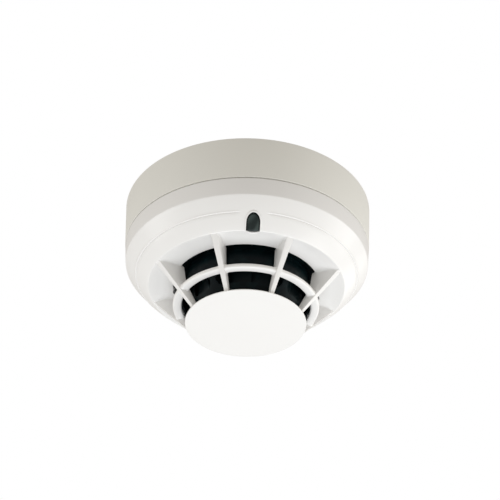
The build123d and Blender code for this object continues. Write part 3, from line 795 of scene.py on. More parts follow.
class GeometryTree:
    """A Geometry Nodes tree with named inputs that is put on an object and turned into a plain mesh."""

    def __init__(self, name: str) -> None:
        """Starts a tree with a mesh coming in and a mesh going out."""
        self.tree = bpy.data.node_groups.new(name, "GeometryNodeTree")
        self.graph = Graph(self.tree)
        self.sockets: dict[str, str] = {}
        self.tree.interface.new_socket(name="Geometry", in_out="OUTPUT", socket_type="NodeSocketGeometry")
        self.tree.interface.new_socket(name="Geometry", in_out="INPUT", socket_type="NodeSocketGeometry")
        self.entry = self.graph.node("NodeGroupInput")

    def size(self, name: str, kind: str = "NodeSocketFloat") -> bpy.types.NodeSocket:
        """Adds a named input.

        Args:
            name: The input's name.
            kind: The type of its socket.

        Returns:
            The output socket of the group's input node that carries it.
        """
        made = self.tree.interface.new_socket(name=name, in_out="INPUT", socket_type=kind)
        self.sockets[name] = made.identifier
        return self.entry.node.outputs[name]

    def copies(self, geometry: object, count: Value, first: Number = 0.0) -> Node:
        """Repeats a geometry evenly round Z.

        Args:
            geometry: The socket or node that it comes from.
            count: How many copies there are.
            first: The bearing of the first, in radians.

        Returns:
            The node that places the copies.
        """
        spots = self.graph.node("GeometryNodeMeshLine", {}, {"Count": count, "Offset": (0.0, 0.0, 0.0)})
        index = self.graph.node("GeometryNodeInputIndex").value()
        turn = self.graph.node("ShaderNodeCombineXYZ", {}, {"Z": first + index * (2 * math.pi / count)})
        spin = self.graph.node("FunctionNodeEulerToRotation", {}, {0: turn})
        return self.graph.node("GeometryNodeInstanceOnPoints", {}, {
            "Points": spots, "Instance": geometry, "Rotation": spin})

    def close(self, geometry: Node) -> None:
        """Ends the tree in Realize Instances and Set Material."""
        material = self.size("Material", "NodeSocketMaterial")
        real = self.graph.node("GeometryNodeRealizeInstances", {}, {"Geometry": geometry})
        dressed = self.graph.node("GeometryNodeSetMaterial", {}, {"Geometry": real, "Material": material})
        self.graph.node("NodeGroupOutput", {}, {0: dressed})

    def run(self, name: str, mesh: bpy.types.Mesh, **sizes: object) -> bpy.types.Mesh:
        """Runs the tree on a mesh.

        Args:
            name: The result's name.
            mesh: The mesh that comes in.
            **sizes: The named inputs' values; underscores stand for spaces.

        Returns:
            The plain mesh.
        """
        carrier = Forge.thing(name, mesh)
        modifier = carrier.modifiers.new(name, "NODES")
        modifier.node_group = self.tree
        for key, setting in sizes.items():
            modifier[self.sockets[key.replace("_", " ")]] = setting
        made = Forge.frozen(carrier)
        made.name = name
        return made


class AroundAxis(GeometryTree):
    """Repeats a mesh round Z."""

    def __init__(self) -> None:
        """Builds the tree."""
        super().__init__("around_axis")
        count = Value(self.graph, self.size("Count", "NodeSocketInt"))
        first = Value(self.graph, self.size("First Bearing"))
        self.close(self.copies(self.entry.socket("Geometry"), count, first))

    def ring(self, name: str, mesh: bpy.types.Mesh, count: int, first_degrees: float,
             finish: Finish) -> bpy.types.Mesh:
        """Copies a mesh evenly round Z.

        Args:
            name: The result's name.
            mesh: The mesh to copy, modelled on its first place's +X.
            count: How many copies there are.
            first_degrees: The bearing of the first.
            finish: Their finish.

        Returns:
            The plain mesh of all copies.
        """
        first = math.radians(first_degrees)
        return self.run(name, mesh, Count=count, First_Bearing=first, Material=finish.material())


class VaneMaker(GeometryTree):
    """Sweeps a thin upright section along an arc, which makes one curved vane, and repeats it round Z."""

    def __init__(self) -> None:
        """Builds the tree."""
        super().__init__("vane_maker")
        graph = self.graph
        count = Value(graph, self.size("Count", "NodeSocketInt"))
        root, bow, tip = (self.size(name, "NodeSocketVector") for name in ("Root", "Bow", "Tip"))
        thickness = Value(graph, self.size("Thickness"))
        height = Value(graph, self.size("Height"))
        path = graph.node("GeometryNodeCurveQuadraticBezier", {}, {
            "Resolution": 14, "Start": root, "Middle": bow, "End": tip})
        section = graph.node("GeometryNodeCurvePrimitiveQuadrilateral", {"mode": "RECTANGLE"}, {
            "Width": thickness, "Height": height})
        soft = graph.node("GeometryNodeFilletCurve", {"mode": "POLY"}, {
            "Curve": section, "Count": 5, "Radius": 0.45 * thickness})
        upright = graph.node("GeometryNodeCurveToMesh", {}, {
            "Curve": path, "Profile Curve": soft, "Fill Caps": True})
        self.close(self.copies(upright, count))


class WireSleeve(GeometryTree):
    """Bends a grid round Z into a sleeve and turns its edges into wires."""

    def __init__(self) -> None:
        """Builds the tree."""
        super().__init__("wire_sleeve")
        graph = self.graph
        radius = Value(graph, self.size("Radius"))
        low = Value(graph, self.size("Low"))
        high = Value(graph, self.size("High"))
        around = Value(graph, self.size("Around", "NodeSocketInt"))
        rows = Value(graph, self.size("Rows", "NodeSocketInt"))
        wire = self.size("Wire Radius")
        sheet = graph.node("GeometryNodeMeshCylinder", {"fill_type": "NONE"}, {
            "Vertices": around, "Side Segments": rows, "Radius": radius, "Depth": high - low})
        middle = graph.node("ShaderNodeCombineXYZ", {}, {"Z": (high + low) * 0.5})
        moved = graph.node("GeometryNodeTransform", {}, {"Geometry": sheet, "Translation": middle})
        lines = graph.node("GeometryNodeMeshToCurve", {}, {0: moved})
        section = graph.node("GeometryNodeCurvePrimitiveCircle", {}, {"Resolution": 4, "Radius": wire})
        self.close(graph.node("GeometryNodeCurveToMesh", {}, {
            "Curve": lines, "Profile Curve": section, "Fill Caps": True}))


# ------------------------------------------------------------------------------------ sub-assemblies
@dataclass
class ShoulderShape:
    """The outline that the cover, the indicator and the vanes share, in millimetres."""

    seam_z: float
    band_top: float
    band_bottom: float = 51.1
    band_depth: float = 7.9
    width: float = 9.9
    depth: float = 11.2
    bulge: float = 0.35
    groove_share: float = 0.485
    lip: float = 30.6
    lip_rise: float = 0.6
    scoop: float = 0.7

    @property
    def length(self) -> float:
        """How long the shoulder's straight outline is."""
        return math.hypot(self.width, self.depth)

    @property
    def band_z(self) -> float:
        """Height of the edge between band and shoulder."""
        return self.seam_z - self.band_depth

    @property
    def edge(self) -> Point:
        """Radius and height of the funnel's outer edge."""
        return self.band_bottom - self.width, self.band_z - self.depth

    def at(self, share: float, lift: float = 0.0) -> Point:
        """A point on the shoulder, a share of the way down, lifted off it by a distance."""
        bow = 4 * share * (1 - share) * self.bulge + lift
        return (self.band_bottom - share * self.width + bow * self.depth / self.length,
                self.band_z - share * self.depth - bow * self.width / self.length)

    def face(self, radius: float, lift: float = 0.0) -> float:
        """Height of the lifted shoulder at a radius, flat inside the funnel's edge."""
        share = min(max((self.band_bottom - radius) / self.width, 0.0), 1.0)
        bow = 4 * share * (1 - share) * self.bulge + lift
        z = self.band_z - share * self.depth - bow * self.length / self.width
        return max(z, self.edge[1] - lift * self.width / self.length)

    def funnel(self, share: float) -> Point:
        """A point on the scooped funnel, a share of the way in from its edge to its lip."""
        edge = self.edge
        radius = edge[0] + share * (self.lip - edge[0])
        return radius, edge[1] + share * self.lip_rise + self.scoop * math.sin(math.pi * share)


@dataclass
class IndicatorOutline:
    """The indicator's outline seen from below: round on its outer side, gently bowed on its inner one."""

    collar_reach: float = 0.85
    bow: float = 0.55
    corner: float = 0.45
    clearance: float = 0.1
    end_gain: float = 0.3

    @property
    def centre(self) -> Point:
        """The middle of the indicator."""
        low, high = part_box("indicator_lens")
        return (low.x + high.x) / 2 / MM, (low.y + high.y) / 2 / MM

    @property
    def half_width(self) -> float:
        """Half its width, which is also the radius of its round end."""
        low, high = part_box("indicator_lens")
        return (high.x - low.x) / 2 / MM - self.collar_reach

    @property
    def half_length(self) -> float:
        """Half its length."""
        low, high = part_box("indicator_lens")
        return (high.y - low.y) / 2 / MM - self.collar_reach

    def points(self, margin: float, lip: float = 0.0) -> list[Point]:
        """The outline moved out by a margin, always with as many points.

        Args:
            margin: How far it is moved out, in millimetres.
            lip: How much further its bowed end reaches in the middle.

        Returns:
            The outline's (x, y) points, in millimetres.
        """
        (cx, cy), half = self.centre, self.half_width + margin
        round_y = cy - self.half_length - self.end_gain + self.half_width
        bow = self.bow + lip
        end_y = cy + self.half_length + self.end_gain + margin + lip
        radius = self.corner + margin
        corner_y, run = end_y - bow - radius, half - radius
        turns = [math.pi / 2 * n / 6 for n in range(7)]
        side = [n / 8 for n in range(1, 8)]
        outline = [(cx - half * math.cos(t), round_y - half * math.sin(t))
                   for t in (math.pi * n / 36 for n in range(37))]
        outline += [(cx + half, round_y + (corner_y - round_y) * u) for u in side]
        outline += [(cx + run + radius * math.cos(t), corner_y + radius * math.sin(t)) for t in turns]
        outline += [(cx + run * u, end_y - bow * u * u) for u in (1 - n / 8 for n in range(1, 16))]
        outline += [(cx - run - radius * math.sin(t), corner_y + radius * math.cos(t)) for t in turns]
        outline += [(cx - half, corner_y + (round_y - corner_y) * u) for u in side]
        return outline


@dataclass
class HeadMoulding:
    """The one white moulding of the head: cover, funnel, vanes, ring bar and end disc."""

    shape: ShoulderShape
    lens: IndicatorOutline
    around: AroundAxis
    wall: float = 2.0
    seam_step: float = 0.75
    seam_rise: float = 0.4
    gap_half: float = 7.2
    fade: float = 1.6
    rib_root: float = 2.7
    rib_tip: float = 1.65
    rib_inner: float = 28.1
    rib_lean: float = 1.25
    rib_end: float = 23.0
    rib_fillet: float = 0.7
    count: int = 8
    ring_width: float = 3.8
    ring_swell: float = 0.3
    ring_fade: float = 0.9
    disc_rim: float = 0.45
    disc_slope: float = 1.8
    lens_lip: float = 0.8
    groove: tuple[Point, ...] = (
        (-0.070, 0.0), (-0.045, 0.04), (-0.028, 0.11), (-0.019, 0.13), (-0.011, 0.09), (-0.005, -0.06),
        (0.001, -0.22), (0.007, -0.26), (0.015, -0.19), (0.028, -0.06), (0.044, 0.0))

    def build(self) -> bpy.types.Object:
        """Builds and dresses the moulding.

        Returns:
            The finished piece.
        """
        ribs = self.around.ring("vanes", self.rib(), self.count, -90 + 180 / self.count, HEAD_PLASTIC)
        parts = [self.cover(), ribs, self.ring(), self.disc(), self.rim()]
        return Forge.piece("head_moulding", Forge.merged("head_moulding", parts), HEAD_PLASTIC, Body.HEAD,
                           Slot.HEAD_PLASTIC, ["cover_shell", "cage_ribs", "cage_ring", "end_disc"])

    def cover(self) -> bpy.types.Mesh:
        """The band, the shoulder with its groove, the funnel and the wall behind them."""
        grooved, plain = self.outline(1.0), self.outline(0.0)

        def outline(bearing: float) -> list[Point]:
            """The outline at a bearing; the groove fades out about the indicator."""
            off = abs((math.degrees(bearing) + 90 + 180) % 360 - 180)
            t = min(max((off - self.gap_half) / self.fade, 0.0), 1.0)
            t = t * t * (3 - 2 * t)
            return [(a[0] * t + b[0] * (1 - t), a[1] * t + b[1] * (1 - t)) for a, b in zip(grooved, plain)]

        shell = Forge.lathe("cover", outline, 360)
        hole = Forge.column("lens_hole", self.lens.points(self.lens.clearance),
                            self.shape.edge[1] - 3, self.shape.seam_z)
        return Forge.cut("cover", shell, hole)

    def outline(self, groove: float) -> list[Point]:
        """The cover's closed outline with the groove at a share of its depth."""
        s = self.shape
        bore = s.band_bottom - self.wall
        step_r, step_z = s.band_top - self.seam_step, s.seam_z + self.seam_rise
        corners = [Corner(bore, step_z), Corner(step_r, step_z, 0.12, 2), Corner(step_r, s.seam_z, 0.1, 2),
                   Corner(s.band_top, s.seam_z, 0.22, 4), Corner(s.band_bottom, s.band_z, 1.1, 8)]
        corners += [Corner(*s.at(n * 0.12)) for n in range(1, 4)]
        corners += [Corner(*s.at(s.groove_share + away, groove * lift)) for away, lift in self.groove]
        corners += [Corner(*s.at(share)) for share in (0.6, 0.7, 0.8, 0.88)]
        corners += [Corner(*s.edge, 0.55, 7)]
        corners += [Corner(*s.funnel(n / 12)) for n in range(1, 12)]
        lip_z = s.edge[1] + s.lip_rise
        corners += [Corner(s.lip, lip_z, 0.3, 4), Corner(s.lip, lip_z + self.wall, 0.3),
                    Corner(s.edge[0] - 0.4, s.edge[1] + 1.5 * self.wall, 1.0), Corner(bore, s.band_z, 1.5)]
        return rounded(corners)

    def rib(self) -> bpy.types.Mesh:
        """One vane on +X, sunk a little into the funnel and flared where it meets it."""
        s = self.shape
        low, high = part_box("end_disc")
        disc_top, face, tip = high.z / MM, low.z / MM, high.x / MM - 0.3
        root_z = s.edge[1] + s.lip_rise
        corners = [Corner(s.edge[0] - 0.28, s.edge[1] + 0.38, 0.25, 3), Corner(tip, disc_top, 0.3, 2),
                   Corner(tip - 0.2, face + self.disc_rim + 0.05),
                   Corner(tip - self.disc_slope, disc_top - 0.15), Corner(self.rib_end, disc_top - 0.3),
                   Corner(self.rib_end, disc_top + 1.3),
                   Corner(self.rib_inner, KNEE_Z, 1.5, 4),
                   Corner(self.rib_inner + self.rib_lean, root_z - 0.2, 0.8, 4),
                   Corner(s.lip + 0.9, root_z + 0.9), Corner(s.edge[0] - 1.0, s.edge[1] + 0.9)]

        def half(x: float, z: float) -> float:
            """Half the vane's thickness: drafted towards the disc."""
            t = (root_z - z) / (root_z - face)
            return 0.5 * (self.rib_root + (self.rib_tip - self.rib_root) * min(max(t, 0.0), 1.0))

        plate = Forge.prism("rib", rounded(corners), half, 0.3)
        return Forge.merged("rib", [plate, self.flare(1), self.flare(-1)])

    def flare(self, side: int) -> bpy.types.Mesh:
        """The concave fillet between one side of a vane and the funnel."""
        s, radius, steps, runs, first, last = self.shape, self.rib_fillet, 7, 24, 0.012, 0.987
        thickness = self.rib_root / 2
        rows: list[list[Triple]] = []
        for run in range(runs + 1):
            t = first + (last - first) * run / runs
            r, z = s.funnel(t)
            size = radius * min(1.0, 6.0 * t + 0.15, 6.0 * (1 - t) + 0.3)
            section = [(thickness - 0.3, z + 0.3), (thickness - 0.02, z - size)]
            section += [(thickness + size - size * math.cos(a), z - size + size * math.sin(a))
                        for a in (math.pi / 2 * k / steps for k in range(1, steps))]
            section += [(thickness + size, z + 0.004), (thickness + size, z + 0.3)]
            rows.append([(math.sqrt(r * r - y * y) if y > thickness else r, side * y, height)
                         for y, height in section])
        return Forge.loft("flare", rows)

    def ring(self) -> bpy.types.Mesh:
        """The rounded bar that ties the vanes together."""
        low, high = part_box("cage_ring")
        height = (high.z - low.z) / MM
        middle, width = (high.z + low.z) / 2 / MM, self.ring_width
        centre = high.x / MM - width / 2

        def outline(bearing: float) -> list[Point]:
            """A bar section with rounded sides that swells a little beside each vane."""
            pitch = 360 / self.count
            off = abs((math.degrees(bearing) + 90) % pitch - pitch / 2) * math.radians(centre)
            near = max(0.0, 1.0 - max(off - self.rib_root / 2, 0.0) / self.ring_fade)
            swell = self.ring_swell * near * near
            half, rise = width / 2 + 0.5 * swell, height / 2 + swell
            return rounded([Corner(centre + sx * half, middle + sz * rise, 0.85)
                            for sx, sz in ((-1, -1), (1, -1), (1, 1), (-1, 1))])

        return Forge.lathe("ring", outline, 480)

    def disc(self) -> bpy.types.Mesh:
        """The end disc: a flat face with a rounded rim and a shallow step on its back."""
        low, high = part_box("end_disc")
        radius, face, back = high.x / MM, low.z / MM, high.z / MM
        corners = [Corner(0.0, face + 0.02), Corner(8.0, face + 0.015), Corner(16.0, face + 0.005),
                   Corner(radius - 2.2, face), Corner(radius, face, 0.3),
                   Corner(radius, face + self.disc_rim, 0.12, 2),
                   Corner(radius - self.disc_slope, back, 0.3, 2), Corner(0.0, back)]
        return Forge.turned("disc", rounded(corners, False), 288, False)

    def rim(self) -> bpy.types.Mesh:
        """The raised rim round the indicator: it follows the shoulder and ends flat at the funnel's edge."""
        lip_start, lip_run = 0.26, 0.2
        section = [(0.10, 2.2), (0.10, 0.14), (0.16, 0.04), (lip_start, 0.0), (0.40, 0.0), (0.50, 0.05),
                   (0.56, 0.16), (0.60, 1.6), (0.60, 2.2)]
        lips = [self.lens_lip * min(max(margin - lip_start, 0.0) / lip_run, 1.0) for margin, _ in section]
        loops = [(self.lens.points(margin, lip), height) for (margin, height), lip in zip(section, lips)]
        rows = [[(x, y, self.shape.face(math.hypot(x, y), 0.3) + height)
                 for (x, y), height in ((loop[number], height) for loop, height in loops)]
                for number in range(len(loops[0][0]))]
        return Forge.loft("rim", rows, True)


@dataclass
class IndicatorWindow:
    """The smoked face of the light pipe, set just inside its rim."""

    shape: ShoulderShape
    lens: IndicatorOutline
    recess: float = 0.10
    crown: float = 0.22
    length: float = 4.0

    def build(self) -> bpy.types.Object:
        """Builds and dresses the window.

        Returns:
            The finished piece.
        """
        cx, cy = self.lens.centre
        edge = self.lens.points(self.lens.clearance + 0.01)
        rings, steps = 14, len(edge)
        points: list[Triple] = [(cx, cy, self.height(cx, cy, 0.0))]
        for ring in range(1, rings + 1):
            share = ring / rings
            for ex, ey in edge:
                x, y = cx + share * (ex - cx), cy + share * (ey - cy)
                points.append((x, y, self.height(x, y, share)))
        top = max(p[2] for p in points) + self.length
        points += [(x, y, top) for x, y, _ in points[-steps:]]
        faces: list[Sequence[int]] = [(0, 1 + n, 1 + (n + 1) % steps) for n in range(steps)]
        for ring in range(rings):
            here, there = 1 + ring * steps, 1 + (ring + 1) * steps
            faces += [(here + n, there + n, there + (n + 1) % steps, here + (n + 1) % steps)
                      for n in range(steps)]
        last = 1 + rings * steps
        faces.append(range(last, last + steps))
        finish = SmokedLens("smoked_acrylic", (cx, cy), self.lens.half_width, self.lens.half_length)
        mesh = Forge.mesh("indicator_window", points, faces)
        return Forge.piece("indicator_window", mesh, finish, Body.HEAD, Slot.LENS, ["indicator_lens"], 50.0)

    def height(self, x: float, y: float, share: float) -> float:
        """The window's face: it follows the shoulder, crowned and softened towards its edge."""
        base = self.shape.face(math.hypot(x, y), -self.recess)
        return base - self.crown * (1 - share * share) + 0.35 * max(share - 0.9, 0.0) / 0.1


@dataclass
class BaseMoulding:
    """The ceiling base: ring wall, slotted plate, rim of the cable hole, bosses, stiffeners and ledges."""

    around: AroundAxis
    wall: float = 2.2
    plate: float = 2.4
    cable_hole: float = 17.0
    rim_wall: float = 1.8
    rim_depth: float = 2.0
    draft: float = 0.4
    slot_middle: float = 30.0
    slot_length: float = 14.5
    slot_half: float = 2.25
    stiffener_half: float = 0.75
    stiffener_depth: float = 2.4
    boss_half: float = 4.5
    clamp_side: float = 6.8
    lug_drop: float = 2.2
    ledge_reach: float = 2.9

    def build(self) -> bpy.types.Object:
        """Builds and dresses the base.

        Returns:
            The finished piece.
        """
        low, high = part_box("base_shell")
        radius, seam = high.x / MM, low.z / MM
        foot = radius - self.draft
        bore = foot - self.wall
        inner = self.cable_hole + self.rim_wall
        rim_z = -self.plate - self.rim_depth
        corners = [Corner(radius, 0.0, 0.45), Corner(foot, seam, 0.3, 4), Corner(bore, seam, 0.25, 3),
                   Corner(bore, -self.plate, 0.8, 4), Corner(inner, -self.plate, 0.3, 3),
                   Corner(inner, rim_z, 0.4, 3), Corner(self.cable_hole, rim_z, 0.4, 3),
                   Corner(self.cable_hole, 0.0, 0.4, 4)]
        shell = Forge.turned("base", rounded(corners), 360)
        slots = self.around.ring("slots", self.slot(), 4, 0.0, BASE_PLASTIC)
        shell = Forge.cut("base", shell, slots)
        parts = [shell, *self.fittings(bore, inner)]
        return Forge.piece("base_moulding", Forge.merged("base_moulding", parts), BASE_PLASTIC, Body.BASE,
                           Slot.BASE_PLASTIC, ["base_shell"], 30.0)

    def slot(self) -> bpy.types.Mesh:
        """The cutter of one screw slot, on +X."""
        run = self.slot_length / 2 - self.slot_half
        outline: list[Point] = []
        for centre, start in ((self.slot_middle + run, -90), (self.slot_middle - run, 90)):
            turns = [math.radians(start + 180 * k / 16) for k in range(17)]
            outline += [(centre + self.slot_half * math.cos(t), self.slot_half * math.sin(t)) for t in turns]
        return Forge.column("slot", outline, -self.plate - 1.5, 1.5)

    def fittings(self, bore: float, inner: float) -> list[bpy.types.Mesh]:
        """The stiffeners, terminal bosses and bayonet ledges inside the base.

        Args:
            bore: The radius inside the ring wall.
            inner: The radius outside the cable hole's rim.

        Returns:
            Their meshes.
        """
        under, sunk, half, side = -self.plate, 0.4, self.boss_half, self.stiffener_half
        rib = Forge.box("stiffener", (inner - 0.6, -side, under - self.stiffener_depth),
                        (bore + 0.6, side, under + sunk), 0.3)
        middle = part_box("clamp_plates")[1].x / MM * math.sqrt(2) - self.clamp_side
        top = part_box("base_contact_1")[1].z / MM
        boss = Forge.box("boss", (middle - half, -half, top), (middle + half, half, under + sunk), 0.5)
        lug_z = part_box("head_housing")[1].z / MM
        ledge = self.ledge(bore, lug_z - 2 * self.lug_drop, lug_z - self.lug_drop)
        return [self.around.ring("stiffeners", rib, 8, 22.5, BASE_PLASTIC),
                self.around.ring("bosses", boss, 4, 45.0, BASE_PLASTIC),
                self.around.ring("ledges", ledge, 3, 90.0, BASE_PLASTIC)]

    def ledge(self, bore: float, low: float, high: float) -> bpy.types.Mesh:
        """One bayonet ledge on +X that hangs a lug."""
        steps, start, end = 12, -8.0, 14.0
        bearings = (math.radians(start + (end - start) * number / steps) for number in range(steps + 1))
        inner, outer = bore - self.ledge_reach, bore + 0.8
        section = ((inner, low), (outer, low), (outer, high), (inner, high))
        rows = [[(r * math.cos(b), r * math.sin(b), z) for r, z in section] for b in bearings]
        return Forge.rounded_edges(Forge.loft("ledge", rows), 0.25, 2, 60.0)


@dataclass
class Chamber:
    """The black vaned chamber behind the windows, with its wire sleeve."""

    around: AroundAxis
    vanes: int = 16
    vane_thickness: float = 1.0
    plate: float = 1.2
    wall: float = 0.9
    taper: float = 5.2
    openings: int = 5
    opening_height: float = 5.6
    opening_angle: float = 66.0
    vane_bow: float = 3.2
    vane_turn: float = 24.0
    wire: float = 0.09
    wires_around: int = 96
    wire_rows: int = 14

    def build(self) -> list[bpy.types.Object]:
        """Builds and dresses the chamber and its sleeve.

        Returns:
            The finished pieces.
        """
        low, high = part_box("chamber_labyrinth")
        radius, bottom, top = high.x / MM, low.z / MM, high.z / MM
        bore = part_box("insect_screen")[1].x / MM + 0.3
        parts = [self.shell(radius, bottom, top), self.lid(radius, bore, top),
                 self.curved_vanes(radius, bore, bottom, top)]
        black = Forge.piece("chamber_vanes", Forge.merged("chamber_vanes", parts), CHAMBER_BLACK, Body.HEAD,
                            Slot.BLACK, ["chamber_labyrinth"], 40.0)
        return [black, self.sleeve()]

    def edge(self, radius: float, bottom: float, z: float) -> float:
        """The chamber's outer radius at a height."""
        return radius - self.taper * max(KNEE_Z - z, 0.0) / (KNEE_Z - bottom)

    def lid(self, radius: float, bore: float, top: float) -> bpy.types.Mesh:
        """The ring that closes the chamber against its carrier."""
        outer, under = radius - 0.5 * self.wall, top - self.plate
        return Forge.turned("lid", rounded([Corner(bore, top), Corner(outer, top), Corner(outer, under),
                                            Corner(bore, under, 0.2, 2)]), 192)

    def shell(self, radius: float, bottom: float, top: float) -> bpy.types.Mesh:
        """The thin outer wall with its closed end, cut by the long rounded openings."""
        end, bore = radius - self.taper, radius - self.wall
        groove_z, floor_z, step_r = bottom + 0.35, bottom + self.plate, radius - 0.25
        outline = rounded([
            Corner(0.0, bottom), Corner(end - 4.0, bottom), Corner(end - 3.4, groove_z),
            Corner(end - 2.2, groove_z), Corner(end - 1.6, bottom), Corner(end, bottom, 0.45, 4),
            Corner(radius, KNEE_Z, 2.2, 6), Corner(radius, top - 1.6, 0.1, 2), Corner(step_r, top - 1.7),
            Corner(step_r, top), Corner(bore, top), Corner(bore, KNEE_Z, 2.0),
            Corner(self.edge(radius, bottom, floor_z) - self.wall, floor_z), Corner(0.0, floor_z)], False)
        shell = Forge.turned("shell", outline, 240, False)
        opening = self.opening(radius, bottom)
        cutters = self.around.ring("openings", opening, self.openings, -90.0, CHAMBER_BLACK)
        return Forge.cut("shell", shell, cutters)

    def opening(self, radius: float, bottom: float) -> bpy.types.Mesh:
        """The cutter of one long opening with round ends, on +X."""
        middle, half = (KNEE_Z + bottom + self.plate) / 2, self.opening_height / 2
        reach = self.edge(radius, bottom, middle)
        inner, outer = radius - self.taper - 3 * self.wall, radius + 1.0
        end = math.radians(self.opening_angle / 2) * reach
        turns = [half * (1 - math.cos(math.pi / 2 * n / 10)) for n in range(10)]
        stations = [-end + turn for turn in turns]
        stations += [-end + half + 2 * (end - half) * n / 24 for n in range(25)]
        stations += [end - turn for turn in reversed(turns)]
        rows: list[list[Triple]] = []
        for place in stations:
            past = max(abs(place) - (end - half), 0.0)
            rise = max(math.sqrt(max(half * half - past * past, 0.0)), 0.02)
            section = ((inner, -rise), (outer, -rise), (outer, rise), (inner, rise))
            bearing = place / reach
            rows.append([(r * math.cos(bearing), r * math.sin(bearing), middle + z) for r, z in section])
        return Forge.loft("opening", rows)

    def curved_vanes(self, radius: float, bore: float, bottom: float, top: float) -> bpy.types.Mesh:
        """The curved light-trap vanes inside the wall, kept clear of it."""
        root, tip = bore + 1.0, radius - 1.4
        turn = math.radians(self.vane_turn)
        middle_z = (top + bottom) / 2
        maker = VaneMaker()
        vanes = maker.run("curved_vanes", bpy.data.meshes.new("vane_seed"), Count=self.vanes,
                          Root=(root * MM, 0.0, middle_z * MM),
                          Bow=((root + tip) / 2 * MM, -self.vane_bow * MM, middle_z * MM),
                          Tip=(tip * math.cos(turn) * MM, tip * math.sin(turn) * MM, middle_z * MM),
                          Thickness=self.vane_thickness * MM, Height=(top - bottom - self.plate) * MM,
                          Material=CHAMBER_BLACK.material())
        with editing(vanes) as work:
            for vertex in work.verts:
                flat = math.hypot(vertex.co.x, vertex.co.y)
                limit = (self.edge(radius, bottom, vertex.co.z / MM) - 0.5 * self.wall) * MM
                if flat > limit:
                    vertex.co.x *= limit / flat
                    vertex.co.y *= limit / flat
        return vanes

    def sleeve(self) -> bpy.types.Object:
        """The insect screen as real wires."""
        low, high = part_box("insect_screen")
        maker = WireSleeve()
        wires = maker.run("screen_wires", bpy.data.meshes.new("screen_seed"), Radius=high.x - 0.15 * MM,
                          Low=low.z + 0.1 * MM, High=high.z - 0.1 * MM, Around=self.wires_around,
                          Rows=self.wire_rows, Wire_Radius=self.wire * MM, Material=SCREEN_WIRE.material())
        return Forge.piece("screen_wires", wires, SCREEN_WIRE, Body.HEAD, Slot.MESH, ["insect_screen"], 60.0)


@dataclass
class HeatSensors:
    """The two bead thermistors, dipped in dark epoxy, that hang in the air path."""

    bead: float = 1.3
    lead: float = 0.25
    lead_offset: float = 0.8

    def build(self) -> list[bpy.types.Object]:
        """Builds and dresses both sensors.

        Returns:
            The finished pieces.
        """
        return [self.sensor(node) for node in ("thermistor_1", "thermistor_2")]

    def sensor(self, node: str) -> bpy.types.Object:
        """One teardrop on two leads."""
        low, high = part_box(node)
        x, bottom, top = (low.x + high.x) / 2 / MM, low.z / MM, high.z / MM
        middle = bottom + self.bead
        profile: list[Point] = []
        for step in range(25):
            angle = math.pi * step / 24
            height = -self.bead * math.cos(angle)
            upper = max(height / self.bead, 0.0)
            profile.append((self.bead * math.sin(angle) * (1.0 - 0.12 * upper),
                            middle + height * (1.0 + 0.55 * upper ** 2)))
        parts = [Forge.turned("drop", profile, 40, False)]
        root = middle + 0.5
        wire = rounded([Corner(0.0, root), Corner(self.lead, root), Corner(self.lead, top, 0.05, 2),
                        Corner(0.0, top)], False)
        for side in (-1, 1):
            lead = Forge.turned("lead", wire, 12, False)
            lead.transform(Matrix.Translation((0.0, side * self.lead_offset * MM, 0.0)))
            parts.append(lead)
        whole = Forge.merged(node + "_bead", parts)
        whole.transform(Matrix.Translation((x * MM, 0.0, 0.0)))
        finish = SensorGlass("bead_epoxy", middle + 1.5 * self.bead, (0.008, 0.010, 0.010),
                             (0.014, 0.016, 0.016))
        return Forge.piece(node + "_bead", whole, finish, Body.HEAD, Slot.SENSOR, [node], 40.0)


@dataclass(frozen=True)
class Screw:
    """One size of slotted pan-head screw."""

    head: float
    depth: float
    shank: float
    slot: float = 0.9
    pitch: float = 0.7
    thread_depth: float = 0.28

    def build(self, reach: float, low: float, high: float) -> bpy.types.Mesh:
        """Builds the screw on +X, head down.

        Args:
            reach: Its distance from the axis.
            low: The height of its head's face.
            high: The height of its tip.

        Returns:
            The closed mesh.
        """
        head, shank, seat, root = self.head, self.shank, low + self.depth, self.shank - self.thread_depth
        corners = [Corner(0.0, low), Corner(head, low, 0.45 * self.depth, 6), Corner(head, seat, 0.15, 2),
                   Corner(shank, seat)]
        z = seat + 0.5
        while z + self.pitch < high - 0.8:
            corners += [Corner(root, z), Corner(shank, z + 0.5 * self.pitch),
                        Corner(root, z + 0.94 * self.pitch)]
            z += self.pitch
        corners += [Corner(shank - 0.3, high - 0.5), Corner(0.6 * shank, high), Corner(0.0, high)]
        body = Forge.turned("screw", rounded(corners, False), 40, False)
        cutter = Forge.box("driver_slot", (-2 * head, -self.slot / 2, low - 1.0),
                           (2 * head, self.slot / 2, low + 0.45 * self.depth), 0.05)
        body = Forge.cut("screw", body, cutter)
        body.transform(Matrix.Translation((reach * MM, 0.0, 0.0)))
        return body


